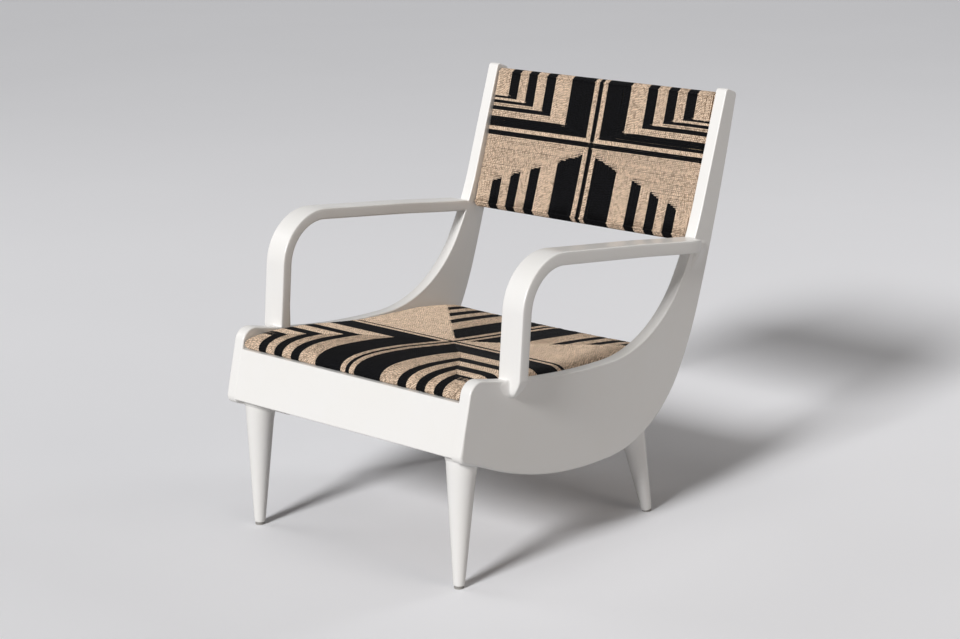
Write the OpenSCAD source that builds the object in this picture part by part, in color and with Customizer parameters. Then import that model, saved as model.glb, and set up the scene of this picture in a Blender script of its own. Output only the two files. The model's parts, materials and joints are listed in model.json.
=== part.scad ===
// Woven armchair: two curved side panels that run up into the back posts, bent armrests,
// tapered turned legs, and a seat and a back of cord wound over hidden wooden frames.
// Millimetres. The chair faces -Y, +X is to the right seen from the front, z = 0 is the floor.
// Sizes below are measured from the front feet (y = 0); the whole chair is then centred on y.

/* [Side panels] */
// Width over the two side panels
outer_w = 640; // [560:1:760]
// Thickness of a side panel
panel_t = 26; // [20:1:34]
// Height of the panel's lower front corner above the floor
toe_z = 268; // [235:1:300]
// How far that corner stands ahead of the front feet
toe_y = 33; // [22:1:44]
// Backward lean of the panel's front edge
front_lean = 14.3; // [10:0.1:18]
// Rounding of the lower front corner
toe_r = 12; // [6:1:20]
// Rounding of the upper front corner
brow_r = 32; // [22:1:36]
// Radius of the underside as it falls towards the middle
belly_r = 738; // [690:1:780]
// Turn of that fall
belly_a = 30.6; // [29:0.1:32]
// Straight stretch at the lowest point
belly_flat = 35; // [20:1:50]
// Radius of the underside as it sweeps up to the rear
sweep_r = 265; // [250:1:280]
// Turn of that sweep
sweep_a = 58; // [56:0.5:60]
// Radius above the sweep, where the post begins
rise_r = 675; // [600:1:760]
// Turn of that stretch on the rear edge
rise_a = 12.4; // [11:0.1:13.5]
// Radius of the rear edge of the post
post_r = 4420; // [3600:10:6000]
// Turn of the rear edge of the post
post_a = 5.5; // [5.2:0.1:5.8]
// Depth of the panel at its lowest point, up to the seat edge
waist_h = 191.9; // [180:0.1:200]
// Distance of the seat edge's lowest point behind the end of the straight stretch
waist_y = 12.2; // [6:0.1:18]
// Distance of the seat edge's start behind the front feet
cheek_y = 33; // [28:1:38]
// Radius of the gently falling seat edge
edge_r = 1507; // [1400:1:1650]
// How much larger the radius of the inner sweep, from seat edge to post, is than the outer one
inner_more = 0; // [-8:1:8]
// How much less the inner sweep turns than the outer one
inner_less = 0.1; // [0:0.1:0.6]
// Turn of the stretch above it
lift_a = 13.1; // [12.5:0.1:13.7]
// Length of the straight front edge of the post
post_l = 232; // [210:1:245]
// Rounding of the post's top corners
tip_r = 8; // [4:1:12]

/* [Armrests] */
// Width of an armrest, outwards from the panel's inner face
arm_w = 53; // [44:1:66]
// Thickness of an armrest
arm_t = 26; // [20:1:30]
// Distance of its front face behind the front feet, at the panel's edge
arm_y = 98; // [80:1:120]
// Height of its outer corner above the seat edge's start
arm_h = 222.5; // [200:0.5:235]
// Backward lean of its upright part
arm_lean = 6; // [3:0.5:9]
// Fall of its long part towards the rear
arm_fall = 6.9; // [6:0.1:8]
// Outer radius of the bend
arm_r = 110; // [80:1:125]
// Depth of the tongue that laps the panel's outer face
tongue_h = 33; // [24:1:44]
// Reach of the rear end across the post's outer face
lap_l = 28; // [20:1:32]

/* [Apron and stretcher] */
// Drop of the apron's lower edge below the panel's lower front corner
apron_drop = 4; // [0:0.5:6]
// Height of the front apron
apron_h = 99; // [80:1:104]
// Thickness of the front apron
apron_t = 22; // [18:1:26]
// Height of the rear stretcher
stretcher_h = 50; // [40:1:54]
// Thickness of the rear stretcher
stretcher_t = 22; // [18:1:26]
// Distance of the rear stretcher behind the front feet
stretcher_y = 534; // [528:1:540]

/* [Legs] */
// Distance of a foot's middle inside the panel's outer face
foot_inset = 44.5; // [40:0.5:60]
// Distance between the front and rear feet
foot_base = 554; // [540:1:560]
// Diameter of a leg at the floor
foot_d = 21; // [18:1:28]
// Growth in diameter for each 100 mm of height
leg_taper = 15.5; // [12:0.5:16]
// Backward lean of the front legs, going up
leg_lean = 3.6; // [1:0.1:6]
// Splay of the rear legs, out to the rear
leg_splay = 14.2; // [10:0.1:16]
// Height of a foot glide
glide_h = 6; // [4:0.5:10]
// Length of a leg bolt
bolt_l = 64; // [50:1:70]
// Diameter of a leg bolt
bolt_d = 8; // [6:1:10]
// Wall of the threaded insert round a leg bolt
insert_wall = 2; // [1.5:0.5:3]
// Thickness of the leg blocks, across the chair
block_w = 54; // [46:1:70]

/* [Woven seat] */
// Depth of the seat from front to rear
seat_l = 617; // [600:1:622]
// Thickness of the woven seat
seat_t = 35.8; // [30:0.1:42]
// Fall of the seat towards the rear
seat_fall = 6.3; // [5.5:0.1:7]
// Distance of the seat's front ahead of the front feet
seat_y = 2; // [0:0.5:6]
// Distance of the pattern's middle line behind the seat's front
seat_mid = 291; // [280:1:310]
// Length of the seat's rolled front and rear edges
seat_roll_l = 52; // [30:1:60]
// Depth of the seat's rolled front and rear edges
seat_roll_h = 25; // [12:0.5:27]
// Width of the seat frame's rails
seat_rail_w = 42; // [34:1:50]

/* [Woven back] */
// Height of the back panel along its slope
back_h = 304; // [280:1:320]
// Thickness of the woven back
back_t = 27; // [24:0.5:29]
// Distance of its top below the post's top, along the post
back_drop = 8.5; // [6:0.5:14]
// Distance of its face behind the post's front edge, at the top
back_recess = 1; // [0.5:0.5:3]
// How much more upright the back stands than the posts
back_upright = 1.5; // [0.5:0.1:2]
// Distance of the pattern's middle line below the top
back_mid = 141; // [130:1:160]
// Width of the back frame's rails and stiles
back_rail_w = 30; // [26:1:34]
// Length of the back's rolled top and bottom edges
back_roll_l = 14; // [8:0.5:18]
// Depth of the back's rolled top and bottom edges
back_roll_h = 13; // [8:0.5:15]

/* [Cord] */
// Thickness of the cord
cord_d = 3.4; // [2.6:0.1:4]
// Clearance between the weave and what is beside it
weave_gap = 0.5; // [0.3:0.1:1]

/* [Fasteners] */
// Diameter of the joint dowels
dowel_d = 8; // [6:1:10]
// Length of the joint dowels
dowel_l = 36; // [30:1:38]
// Diameter of a screw's shank
screw_d = 4; // [3:0.5:5]
// Diameter of a screw's head
screw_head = 8; // [7:0.5:10]
// Length of a screw
screw_l = 38; // [34:1:42]
// Width and height of the seat cleats
cleat_w = 20; // [18:1:26]

/* [Hidden] */
$fn = 48;
eps = 0.01;
fit = 0.3;
paint = [0.93, 0.92, 0.89];
pale_cord = [0.78, 0.68, 0.55];
dark_cord = [0.07, 0.07, 0.08];
raw_wood = [0.76, 0.62, 0.44];
steel = [0.68, 0.69, 0.70];
nylon = [0.45, 0.44, 0.42];

// A path is a run of arcs. Each arc starts at p with heading h and turns left by a.
function arc_end(p, h, r, a) = p + r * [sin(h + a) - sin(h), cos(h) - cos(h + a)];
function arc(p, h, r, a, n) = [for (i = [0:n]) arc_end(p, h, r, a * i / n)];
function unit(a) = [cos(a), sin(a)];
// Where the line through p at heading a meets the line through q at heading b
function meet(p, a, q, b) = let (d = q - p)
    p + unit(a) * (d[0] * sin(b) - d[1] * cos(b)) / (cos(a) * sin(b) - sin(a) * cos(b));
// Points of a corner at c, rounded by r, between heading a coming in and heading b going out
function rounded(c, a, b, r, n) = let (
    turn = b - a,
    tangent = r * abs(tan(turn / 2)),
    start = c - unit(a) * tangent)
    turn > 0 ? arc(start, a, r, turn, n)
             : [for (i = [0:n]) start + r * [sin(a) - sin(a + turn * i / n),
                                             cos(a + turn * i / n) - cos(a)]];
function reversed(v) = [for (i = [len(v) - 1:-1:0]) v[i]];

// Lower and rear edge of the side panel, from its lower front corner to the post's top
toe = [-toe_y, toe_z];
low1 = arc_end(toe, -belly_a, belly_r, belly_a);
low2 = low1 + [belly_flat, 0];
low3 = arc_end(low2, 0, sweep_r, sweep_a);
low4 = arc_end(low3, sweep_a, rise_r, rise_a);
low5 = arc_end(low4, sweep_a + rise_a, post_r, post_a);
low_edge = concat(arc(toe, -belly_a, belly_r, belly_a, 16), arc(low2, 0, sweep_r, sweep_a, 20),
    arc(low3, sweep_a, rise_r, rise_a, 6), arc(low4, sweep_a + rise_a, post_r, post_a, 6));
// Seat edge and front edge of the post, from the upper front corner to the post's top
inner_r = sweep_r + inner_more;
inner_a = sweep_a - inner_less;
up1 = low2 + [waist_y, waist_h];
edge_a = asin((up1[0] - cheek_y) / edge_r);
cheek = up1 - edge_r * [sin(edge_a), cos(edge_a) - 1];
up2 = arc_end(up1, 0, inner_r, inner_a);
up3 = arc_end(up2, inner_a, rise_r, lift_a);
post_h = inner_a + lift_a;
up4 = up3 + unit(post_h) * post_l;
up_edge = concat(arc(cheek, -edge_a, edge_r, edge_a, 10), arc(up1, 0, inner_r, inner_a, 20),
    arc(up2, inner_a, rise_r, lift_a, 6), [up4]);
front_h = 90 - front_lean;
brow = meet(toe, front_h, cheek, 180 - edge_a);
top_h = atan2(up4[1] - low5[1], up4[0] - low5[0]);
rear_h = sweep_a + rise_a + post_a;
outline_pts = concat(
    rounded(toe, -180 + front_h, -belly_a, toe_r, 6),
    [for (p = low_edge) if (norm(p - toe) > toe_r + 4 && norm(p - low5) > tip_r + 4) p],
    rounded(low5, rear_h, top_h, tip_r, 6),
    rounded(up4, top_h, post_h + 180, tip_r, 6),
    [for (p = reversed(up_edge)) if (norm(p - up4) > tip_r + 4) p],
    rounded(brow, 180 - edge_a, 180 + front_h, min(brow_r, norm(brow - cheek) - 1), 8));
apron_low = toe_z - apron_drop;
y_min = min(concat([for (p = outline_pts) p[0]], [front_edge_y(apron_low)]));
y_max = max([for (p = outline_pts) p[0]]);
y_mid = (y_min + y_max) / 2;

// Height of the seat edge and of the panel's underside at a distance y from the front feet
function edge_z(y) = let (c = up1 + [0, edge_r]) c[1] - sqrt(pow(edge_r, 2) - pow(y - c[0], 2));
function under_z(y) = y < low1[0]
    ? low1[1] + belly_r - sqrt(pow(belly_r, 2) - pow(y - low1[0], 2))
    : y < low2[0] ? low2[1]
    : low2[1] + sweep_r - sqrt(pow(sweep_r, 2) - pow(y - low2[0], 2));
function front_edge_y(z) = -toe_y + (z - toe_z) * tan(front_lean);

beyond = 2 * outer_w;
half_in = outer_w / 2 - panel_t;
half_out = outer_w / 2;
half_weave = half_in - weave_gap;

// Seat frame of reference: y runs back along the seat, z = 0 is the weave's upper surface
apron_top = apron_low + apron_h;
apron_back = front_edge_y(apron_top) + apron_t / cos(front_lean);
seat_z = apron_top + fit + seat_t / cos(seat_fall) + (apron_back + seat_y) * tan(seat_fall);
module on_seat() translate([0, -seat_y, seat_z]) rotate([-seat_fall, 0, 0]) children();
function seat_under(y) = seat_z - (y + seat_y) * tan(seat_fall) - seat_t / cos(seat_fall);

// Back frame of reference: z runs up the back, y = 0 is the weave's front surface
back_lean = 90 - post_h - back_upright;
back_top = up4 - unit(post_h) * back_drop + unit(post_h - 90) * back_recess;
back_foot = back_top - [sin(back_lean), cos(back_lean)] * back_h;
module on_back() translate([0, back_foot[0], back_foot[1]]) rotate([-back_lean, 0, 0]) children();

module sided(s) if (s < 0) mirror([1, 0, 0]) children(); else children();
module centred() translate([0, -y_mid, 0]) children();
// A profile drawn in (y, z) that runs across the chair from x0 to x1
module across(x0, x1) translate([x0, 0, 0]) rotate([90, 0, 90]) linear_extrude(x1 - x0) children();
module rod_x(d, x0, x1, y, z) translate([x0, y, z]) rotate([0, 90, 0]) cylinder(d = d, h = x1 - x0);

// Dowels, screws and bolts that several pieces share
dowel_h = dowel_l / 2;
apron_dowel_z = [apron_low + apron_h * 0.27, apron_low + apron_h * 0.73];
stretcher_z0 = seat_under(stretcher_y + stretcher_t) - fit - stretcher_h;
stretcher_dowel_z = [stretcher_z0 + stretcher_h * 0.26, stretcher_z0 + stretcher_h * 0.74];
function apron_mid_y(z) = front_edge_y(z) + apron_t / 2;
bore_end = 8;
panel_bore = panel_t - bore_end;
module joint_dowels_x(length, clear) for (z = apron_dowel_z)
    rod_x(dowel_d + clear, half_in - dowel_h - clear, half_in + length, apron_mid_y(z), z);
module stretcher_dowels_x(length, clear) for (z = stretcher_dowel_z)
    rod_x(dowel_d + clear, half_in - dowel_h - clear, half_in + length,
        stretcher_y + stretcher_t / 2, z);

// Armrest centre lines: the outer corner where its two straight runs would meet
arm_corner_z = cheek[1] + arm_h;
arm_foot_z = edge_z(arm_y);
arm_corner = meet([arm_y, arm_foot_z], 90 - arm_lean, [arm_y, arm_corner_z], -arm_fall);
arm_low = arm_foot_z - tongue_h;
arm_mid_x = half_in + panel_t / 2;
arm_dowel_l = 44;
module arm_dowel(clear) {
    translate([arm_mid_x, arm_y + arm_t / 2 + 1, arm_foot_z]) rotate([-arm_lean, 0, 0])
        translate([0, 0, -arm_dowel_l / 2 - clear]) cylinder(d = dowel_d + clear,
            h = arm_dowel_l + 2 * clear);
    translate([arm_mid_x, arm_rear[0], arm_rear[1]]) rotate([90 - arm_fall, 0, 0])
        translate([0, 0, -arm_dowel_l / 2 - clear]) cylinder(d = dowel_d + clear,
            h = arm_dowel_l + 2 * clear);
}
// Middle of the armrest where it meets the post's front edge
arm_axis = arm_corner - unit(90 - arm_fall) * arm_t / 2;
arm_rear = meet(arm_axis, -arm_fall, up3, post_h);

// Legs: each axis starts at the foot on the floor and leans back (front) or forward (rear)
foot_x = half_out - foot_inset;
module front_leg_axis() translate([foot_x, 0, 0]) rotate([-leg_lean, 0, 0]) children();
module rear_leg_axis() translate([foot_x, foot_base, 0]) rotate([leg_splay, 0, 0]) children();
// Length along a leg from the floor to the panel's underside
front_top = under_z(tan(leg_lean) * toe_z * 0.9) / cos(leg_lean);
rear_guess = foot_base - tan(leg_splay) * under_z(foot_base - 50);
rear_top = under_z(rear_guess) / cos(leg_splay);
glide_top = glide_h;

module weave_section(up, dn, t, a, b) {
    n = 8;
    low = min(t * 0.34, t - b - 1);
    polygon(concat(
        [for (i = [0:n]) [up - a + a * sin(90 * i / n), -b + b * cos(90 * i / n)]],
        [for (i = [0:n]) [up - low + low * cos(90 * i / n), -t + low - low * sin(90 * i / n)]],
        [for (i = [0:n]) [-dn + low - low * sin(90 * i / n), -t + low - low * cos(90 * i / n)]],
        [for (i = [0:n]) [-dn + b - b * cos(90 * i / n), -b + b * sin(90 * i / n)]]));
}

// Half the cords across the panel, and how many make up each band from the middle out
half_cords = 89;
seat_bands = [1.5, 4, 21, 14, 7, 8, 7, 7, 7];
back_bands = [1.5, 3.5, 19, 13.5, 8, 8, 7.5, 7.5, 7.5];
function band_edge(bands, k) = k < 0 ? 0 : bands[k] + band_edge(bands, k - 1);
function edges(bands, pitch) = [for (k = [0:len(bands) - 1]) band_edge(bands, k) * pitch];
cord_pitch = half_weave / half_cords;
seat_up = seat_mid;
seat_dn = seat_l - seat_mid;
back_dn = back_h - back_mid;
// Bands across the chair (x) and up the pattern (y). The seat's cords pack alike both ways;
// the back's side cords lie closer, so its mitres run flatter than the corners.
seat_x = edges(seat_bands, cord_pitch);
seat_yy = edges(seat_bands, seat_up / half_cords);
back_x = edges(back_bands, cord_pitch);
back_side = 0.335;
back_yy = [for (k = [0:len(back_bands) - 1]) 5 + (back_x[k] - back_x[0]) * back_side * (k < 3 ? 1.15 : 1)];

// The black bands seen square on: a cross, four nested angles a side and four stripes a side
module black_plan(xs, ys, up, dn, slope, start) {
    far = half_weave + 2;
    square([2 * xs[0], 2 * (up + dn)], center = true);
    square([2 * far, 2 * ys[0]], center = true);
    for (s = [-1, 1]) scale([s, 1]) for (k = [2, 4, 6, 8]) {
        polygon([[xs[k - 1], ys[k - 1]], [far, ys[k - 1]], [far, ys[k]],
            [xs[k], ys[k]], [xs[k], up + 2], [xs[k - 1], up + 2]]);
        polygon([[xs[k - 1], -start - slope * xs[k - 1]], [xs[k - 1], -dn - 2],
            [xs[k], -dn - 2], [xs[k], -start - slope * xs[k]]]);
    }
}
module black_prisms(xs, ys, up, dn, t, slope, start) translate([0, 0, -t - 5])
    linear_extrude(t + 10) black_plan(xs, ys, up, dn, slope, start);
module weave_slab(up, dn, t, a, b) across(-half_weave, half_weave) weave_section(up, dn, t, a, b);

// Rails and stiles in the same flat frame, with the clearance that the cord needs round them
module rail_end(up, t, w, a, b, grow) {
    r = min(b, a) * 0.6;
    y1 = up - cord_d + grow;
    z1 = -cord_d + grow;
    polygon(concat([[up - w - grow, z1]],
        [for (i = [0:6]) [y1 - r + r * sin(15 * i), z1 - r + r * cos(15 * i)]],
        [for (i = [0:3]) [y1 - 5 + 5 * cos(30 * i), -t + cord_d - grow + 5 - 5 * sin(30 * i)]],
        [[up - w - grow, -t + cord_d - grow]]));
}
module cross_rail(up, t, w, a, b, grow) across(-half_weave + cord_d - grow, half_weave - cord_d + grow)
    rail_end(up, t, w, a, b, grow);
module side_rail(up, dn, t, w, grow) translate([half_weave - w - grow, -dn + w, -t + cord_d - grow])
    cube([w - cord_d + 2 * grow, up + dn - 2 * w, t - 2 * cord_d + 2 * grow]);
module seat_place() on_seat() translate([0, seat_mid, 0]) rotate([0, 0, 180]) children();
module back_place() on_back() translate([0, 0, back_dn]) rotate([90, 0, 0]) children();

// Dowels at the corners of a woven frame, two to a corner, along the pattern's y
module corner_dowels(up, dn, t, w, clear) for (sx = [-1, 1], dx = [-1, 1], e = [[up - w, 1], [-dn + w, -1]])
    translate([sx * (half_weave - cord_d / 2 - w / 2) + dx * w * 0.24, e[0], -t / 2]) rotate([90, 0, 0])
        translate([0, 0, -dowel_h / 1.5 - clear])
            cylinder(d = dowel_d - 2 + clear, h = dowel_h / 0.75 + 2 * clear);
module frame_cavity(up, dn, t, w, a, b) {
    cross_rail(up, t, w, a, b, fit);
    mirror([0, 1, 0]) cross_rail(dn, t, w, a, b, fit);
    for (s = [-1, 1]) scale([s, 1, 1]) side_rail(up, dn, t, w, fit);
    for (s = [-1, 1]) scale([s, 1, 1]) translate([0, -dn + w - 1, 0])
        translate([half_weave - w - fit, 0, -t + cord_d - fit])
            cube([w - cord_d + 2 * fit, up + dn - 2 * w + 2, t - 2 * cord_d + 2 * fit]);
}

seat_roll = [seat_roll_l, seat_roll_h];
back_roll = [back_roll_l, back_roll_h];

// Dowels that hold the back frame's stiles to the posts, and screws up into the seat frame
back_dowel_s = [back_h * 0.2, back_h * 0.8];
module back_mounts(clear) on_back() for (s = back_dowel_s)
    rod_x(dowel_d + clear, half_in - dowel_h - 4 - clear, half_in + panel_bore - 4 + clear, back_t / 2, s);
seat_screw_u = [110, 400];
module seat_screws_up(clear) on_seat() for (u = seat_screw_u)
    translate([half_in - cleat_w / 2 - 1, u, -seat_t - fit - cleat_w]) {
        translate([0, 0, -eps]) cylinder(d = screw_d + clear, h = cleat_w + screw_l - 18 + clear);
        translate([0, 0, -eps]) cylinder(d1 = screw_head + clear, d2 = screw_d + clear, h = 3);
    }
cleat_u0 = 46;
cleat_u1 = (stretcher_y + seat_y - 4) / cos(seat_fall);
cleat_screw_u = [60, 255, 460];
module cleat_screws_x(clear) on_seat() for (u = cleat_screw_u)
    translate([half_in - cleat_w, u, -seat_t - fit - cleat_w / 2]) rotate([0, 90, 0]) {
        cylinder(d = screw_d + clear, h = cleat_w + panel_t - 10 + clear);
        cylinder(d1 = screw_head + clear, d2 = screw_d + clear, h = 3);
    }

// Blocks in the corners behind the apron and above the rear legs
block_back = 62;
block_up = 58;
block_ahead = 50;
screw_in = 14;
front_block = [-toe_y, block_back, 0, apron_low + block_up];
rear_leg_y = foot_base - tan(leg_splay) * rear_top * cos(leg_splay);
rear_block = [rear_leg_y - block_ahead, stretcher_y - 1, 0, under_z(rear_leg_y) + block_back];
block_screw_front = [[block_back * 0.3, apron_low + block_up - 1.3 * screw_in],
    [block_back - 1.15 * screw_in, apron_low + screw_in * 0.57]];
block_screw_rear = [[rear_block[0] + screw_in, rear_block[3] - 1.15 * screw_in],
    [rear_block[1] - screw_in, rear_block[3] - 1.15 * screw_in]];
module block_screws_x(at, clear) for (p = at)
    translate([half_in - block_w, p[0], p[1]]) rotate([0, 90, 0]) {
        translate([0, 0, block_w - screw_l + panel_t - 10]) cylinder(d = screw_d + clear, h = screw_l + clear);
        translate([0, 0, -eps]) cylinder(d = screw_head + 1 + clear, h = block_w - screw_l + panel_t - 10);
        translate([0, 0, block_w - screw_l + panel_t - 10 - eps])
            cylinder(d1 = screw_head + clear, d2 = screw_d + clear, h = 3 + eps);
    }
module block_screws_solid(at) for (p = at)
    translate([half_in - screw_l + panel_t - 10, p[0], p[1]]) rotate([0, 90, 0]) {
        cylinder(d = screw_d, h = screw_l);
        cylinder(d1 = screw_head, d2 = screw_d, h = 3);
    }

module outline() polygon(outline_pts);
module apron_profile() polygon([for (p = [[apron_low, 0], [apron_low, 1], [apron_top, 1], [apron_top, 0]])
    [front_edge_y(p[0]) + p[1] * apron_t / cos(front_lean), p[0]]]);

module ahead_of_apron_back() polygon([for (p = [[0, -beyond], [0, apron_t],
    [2 * apron_top, apron_t], [2 * apron_top, -beyond]])
    [front_edge_y(p[0]) + p[1] / cos(front_lean), p[0]]]);

module side_panel() color(paint) centred() difference() {
    across(half_in, half_out) outline();
    joint_dowels_x(panel_bore, fit);
    stretcher_dowels_x(panel_bore, fit);
    arm_dowel(fit);
    back_mounts(fit);
    cleat_screws_x(0.1);
    block_screws_x(block_screw_front, 0.1);
    block_screws_x(block_screw_rear, 0.1);
}

// Side view of an armrest: a band of constant thickness with one bend
module arm_side() {
    turn = 90 - arm_lean + arm_fall;
    outer = rounded(arm_corner, 90 - arm_lean, -arm_fall, arm_r, 24);
    in_corner = meet(arm_corner + unit(-arm_lean) * arm_t, 90 - arm_lean,
        arm_corner - unit(90 - arm_fall) * arm_t, -arm_fall);
    inner = rounded(in_corner, 90 - arm_lean, -arm_fall, arm_r - arm_t, 24);
    low = arm_corner - unit(90 - arm_lean) * (arm_corner[1] - arm_low + 12);
    far = arm_corner + unit(-arm_fall) * (arm_rear[0] + lap_l + 20 - arm_corner[0]) / cos(arm_fall);
    polygon(concat([low], outer, [far], [far - unit(90 - arm_fall) * arm_t], reversed(inner),
        [low + unit(-arm_lean) * arm_t]));
}
// Front view: the tongue rounds in to the panel's outer face
module arm_front() {
    proud = arm_w - panel_t - 1;
    polygon(concat([[half_in, arm_low], [half_in, arm_corner_z + 20], [half_in + arm_w, arm_corner_z + 20]],
        [for (i = [0:6]) [half_out + 1 + proud * cos(15 * i), arm_low + (tongue_h - 6) * (1 - sin(15 * i))]]));
}
// Plan view: the rear end draws in to the post's outer face
module arm_plan() {
    proud = arm_w - panel_t - 1;
    tip = arm_rear[0] + lap_l;
    polygon(concat([[half_in, tip], [half_in, 0], [half_in + arm_w, 0]],
        [for (i = [0:6]) [half_out + 1 + proud * cos(15 * i), tip - 46 + 46 * sin(15 * i)]]));
}
module armrest() color(paint) centred() difference() {
    intersection() {
        across(half_in, half_in + arm_w) arm_side();
        translate([0, beyond, 0]) rotate([90, 0, 0]) linear_extrude(2 * beyond) arm_front();
        linear_extrude(beyond) arm_plan();
    }
    across(half_in - 1, half_out) outline();
    arm_dowel(fit);
}

module front_apron() color(paint) centred() difference() {
    across(-half_in, half_in) apron_profile();
    for (s = [-1, 1]) sided(s) joint_dowels_x(panel_bore, fit);
}
module rear_stretcher() color(raw_wood) centred() difference() {
    translate([-half_in, stretcher_y, stretcher_z0]) cube([2 * half_in, stretcher_t, stretcher_h]);
    for (s = [-1, 1]) sided(s) stretcher_dowels_x(panel_bore, fit);
}

module leg_cone(length) difference() {
    translate([0, 0, glide_top]) cylinder(d1 = foot_d + leg_taper * glide_top / 100,
        d2 = foot_d + leg_taper * length / 100, h = length - glide_top);
    translate([0, 0, glide_top - 1]) cylinder(d = 3 + fit, h = 17);
}
// Body of wood above the legs, which trims their tops to the panel's curved underside
module above_legs() across(half_in - 2 * block_w, half_out + block_w) outline();
module leg_front() color(paint) centred() difference() {
    front_leg_axis() leg_cone(front_top + 30);
    above_legs();
    front_leg_axis() translate([0, 0, front_top - bolt_l / 2 - fit]) cylinder(d = bolt_d + 0.2, h = bolt_l);
}
module leg_rear() color(paint) centred() difference() {
    rear_leg_axis() leg_cone(rear_top + 24);
    above_legs();
    rear_leg_axis() translate([0, 0, rear_top - bolt_l / 2 - fit]) cylinder(d = bolt_d + 0.2, h = bolt_l);
}
module glide() {
    translate([0, 0, -glide_top]) cylinder(d = foot_d - 2, h = 2 * glide_top);
    translate([0, 0, glide_top - eps]) cylinder(d = 3, h = 15);
}
module glide_pair() difference() {
    union() {
        front_leg_axis() glide();
        rear_leg_axis() glide();
    }
    translate([0, -foot_base, -foot_base]) cube([outer_w, 3 * foot_base, foot_base]);
}
module leg_glides() color(nylon) centred() for (s = [-1, 1]) sided(s) glide_pair();
module bolt_pair(d, from, to) {
    front_leg_axis() translate([0, 0, front_top + from]) cylinder(d = d, h = to - from);
    rear_leg_axis() translate([0, 0, rear_top + from]) cylinder(d = d, h = to - from);
}
insert_from = 8;
module leg_bolts() color(steel) centred() for (s = [-1, 1]) sided(s)
    bolt_pair(bolt_d, -bolt_l / 2, bolt_l / 2);
module leg_inserts() color(steel) centred() for (s = [-1, 1]) sided(s) difference() {
    bolt_pair(bolt_d + 2 * insert_wall, insert_from, bolt_l / 2);
    bolt_pair(bolt_d, insert_from - 1, bolt_l / 2 + 1);
}
module block_bore() {
    bolt_pair(bolt_d + 0.2, -10, bolt_l / 2 + 2);
    bolt_pair(bolt_d + 2 * insert_wall, insert_from, bolt_l / 2 + 2);
}
module leg_block(b, screws) color(raw_wood) centred() difference() {
    across(half_in - block_w, half_in) difference() {
        intersection() {
            outline();
            translate([b[0], b[2]]) square([b[1] - b[0], b[3] - b[2]]);
        }
        ahead_of_apron_back();
    }
    block_bore();
    block_screws_x(screws, 0);
}

module seat_cleat() color(raw_wood) centred() difference() {
    on_seat() translate([half_in - cleat_w, cleat_u0, -seat_t - fit - cleat_w])
        cube([cleat_w, cleat_u1 - cleat_u0, cleat_w]);
    cleat_screws_x(0);
    seat_screws_up(0.2);
}

module seat_corner(clear) corner_dowels(seat_up, seat_dn, seat_t, seat_rail_w, clear);
module back_corner(clear) corner_dowels(back_mid, back_dn, back_t, back_rail_w, clear);
module seat_rail_cross(up) color(raw_wood) centred() difference() {
    seat_place() if (up) cross_rail(seat_up, seat_t, seat_rail_w, seat_roll[0], seat_roll[1], 0);
        else mirror([0, 1, 0]) cross_rail(seat_dn, seat_t, seat_rail_w, seat_roll[0], seat_roll[1], 0);
    seat_place() seat_corner(fit);
}
module seat_rail_side() color(raw_wood) centred() difference() {
    on_seat() translate([0, seat_mid, 0]) side_rail(seat_dn, seat_up, seat_t, seat_rail_w, 0);
    seat_place() seat_corner(fit);
    seat_screws_up(0.2);
}
module back_rail_cross(up) color(raw_wood) centred() difference() {
    back_place() if (up) cross_rail(back_mid, back_t, back_rail_w, back_roll[0], back_roll[1], 0);
        else mirror([0, 1, 0]) cross_rail(back_dn, back_t, back_rail_w, back_roll[0], back_roll[1], 0);
    back_place() back_corner(fit);
}
module back_stile() color(raw_wood) centred() difference() {
    back_place() side_rail(back_mid, back_dn, back_t, back_rail_w, 0);
    back_place() back_corner(fit);
    back_mounts(fit);
}

module seat_cut() {
    seat_place() frame_cavity(seat_up, seat_dn, seat_t, seat_rail_w, seat_roll[0], seat_roll[1]);
    for (s = [-1, 1]) sided(s) seat_screws_up(1);
}
module back_cut() {
    back_place() frame_cavity(back_mid, back_dn, back_t, back_rail_w, back_roll[0], back_roll[1]);
    for (s = [-1, 1]) sided(s) back_mounts(1);
}
module seat_slab() seat_place() weave_slab(seat_up, seat_dn, seat_t, seat_roll[0], seat_roll[1]);
module seat_black() seat_place() black_prisms(seat_x, seat_yy, seat_up, seat_dn, seat_t,
    seat_dn / half_weave, 0);
module back_slab() back_place() weave_slab(back_mid, back_dn, back_t, back_roll[0], back_roll[1]);
module back_black() back_place() black_prisms(back_x, back_yy, back_mid, back_dn, back_t, 0.345, 14);

module seat_weave_natural() color(pale_cord) centred() difference() {
    seat_slab();
    seat_black();
    seat_cut();
}
module seat_weave_black() color(dark_cord) centred() difference() {
    intersection() {
        seat_slab();
        seat_black();
    }
    seat_cut();
}
module back_weave_natural() color(pale_cord) centred() difference() {
    back_slab();
    back_black();
    back_cut();
}
module back_weave_black() color(dark_cord) centred() difference() {
    intersection() {
        back_slab();
        back_black();
    }
    back_cut();
}

module apron_dowels() color(raw_wood) centred() for (s = [-1, 1]) sided(s) joint_dowels_x(panel_bore - fit, 0);
module stretcher_dowels() color(raw_wood) centred() for (s = [-1, 1]) sided(s)
    stretcher_dowels_x(panel_bore - fit, 0);
module arm_dowels() color(raw_wood) centred() for (s = [-1, 1]) sided(s) arm_dowel(0);
module seat_frame_dowels() color(raw_wood) centred() seat_place() seat_corner(0);
module back_frame_dowels() color(raw_wood) centred() back_place() back_corner(0);
module back_mount_dowels() color(raw_wood) centred() for (s = [-1, 1]) sided(s) back_mounts(0);
module block_screws() color(steel) centred() for (s = [-1, 1]) sided(s) {
    block_screws_solid(block_screw_front);
    block_screws_solid(block_screw_rear);
}
module cleat_screws() color(steel) centred() for (s = [-1, 1]) sided(s) cleat_screws_x(0);
module seat_screws() color(steel) centred() for (s = [-1, 1]) sided(s) seat_screws_up(0);

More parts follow.
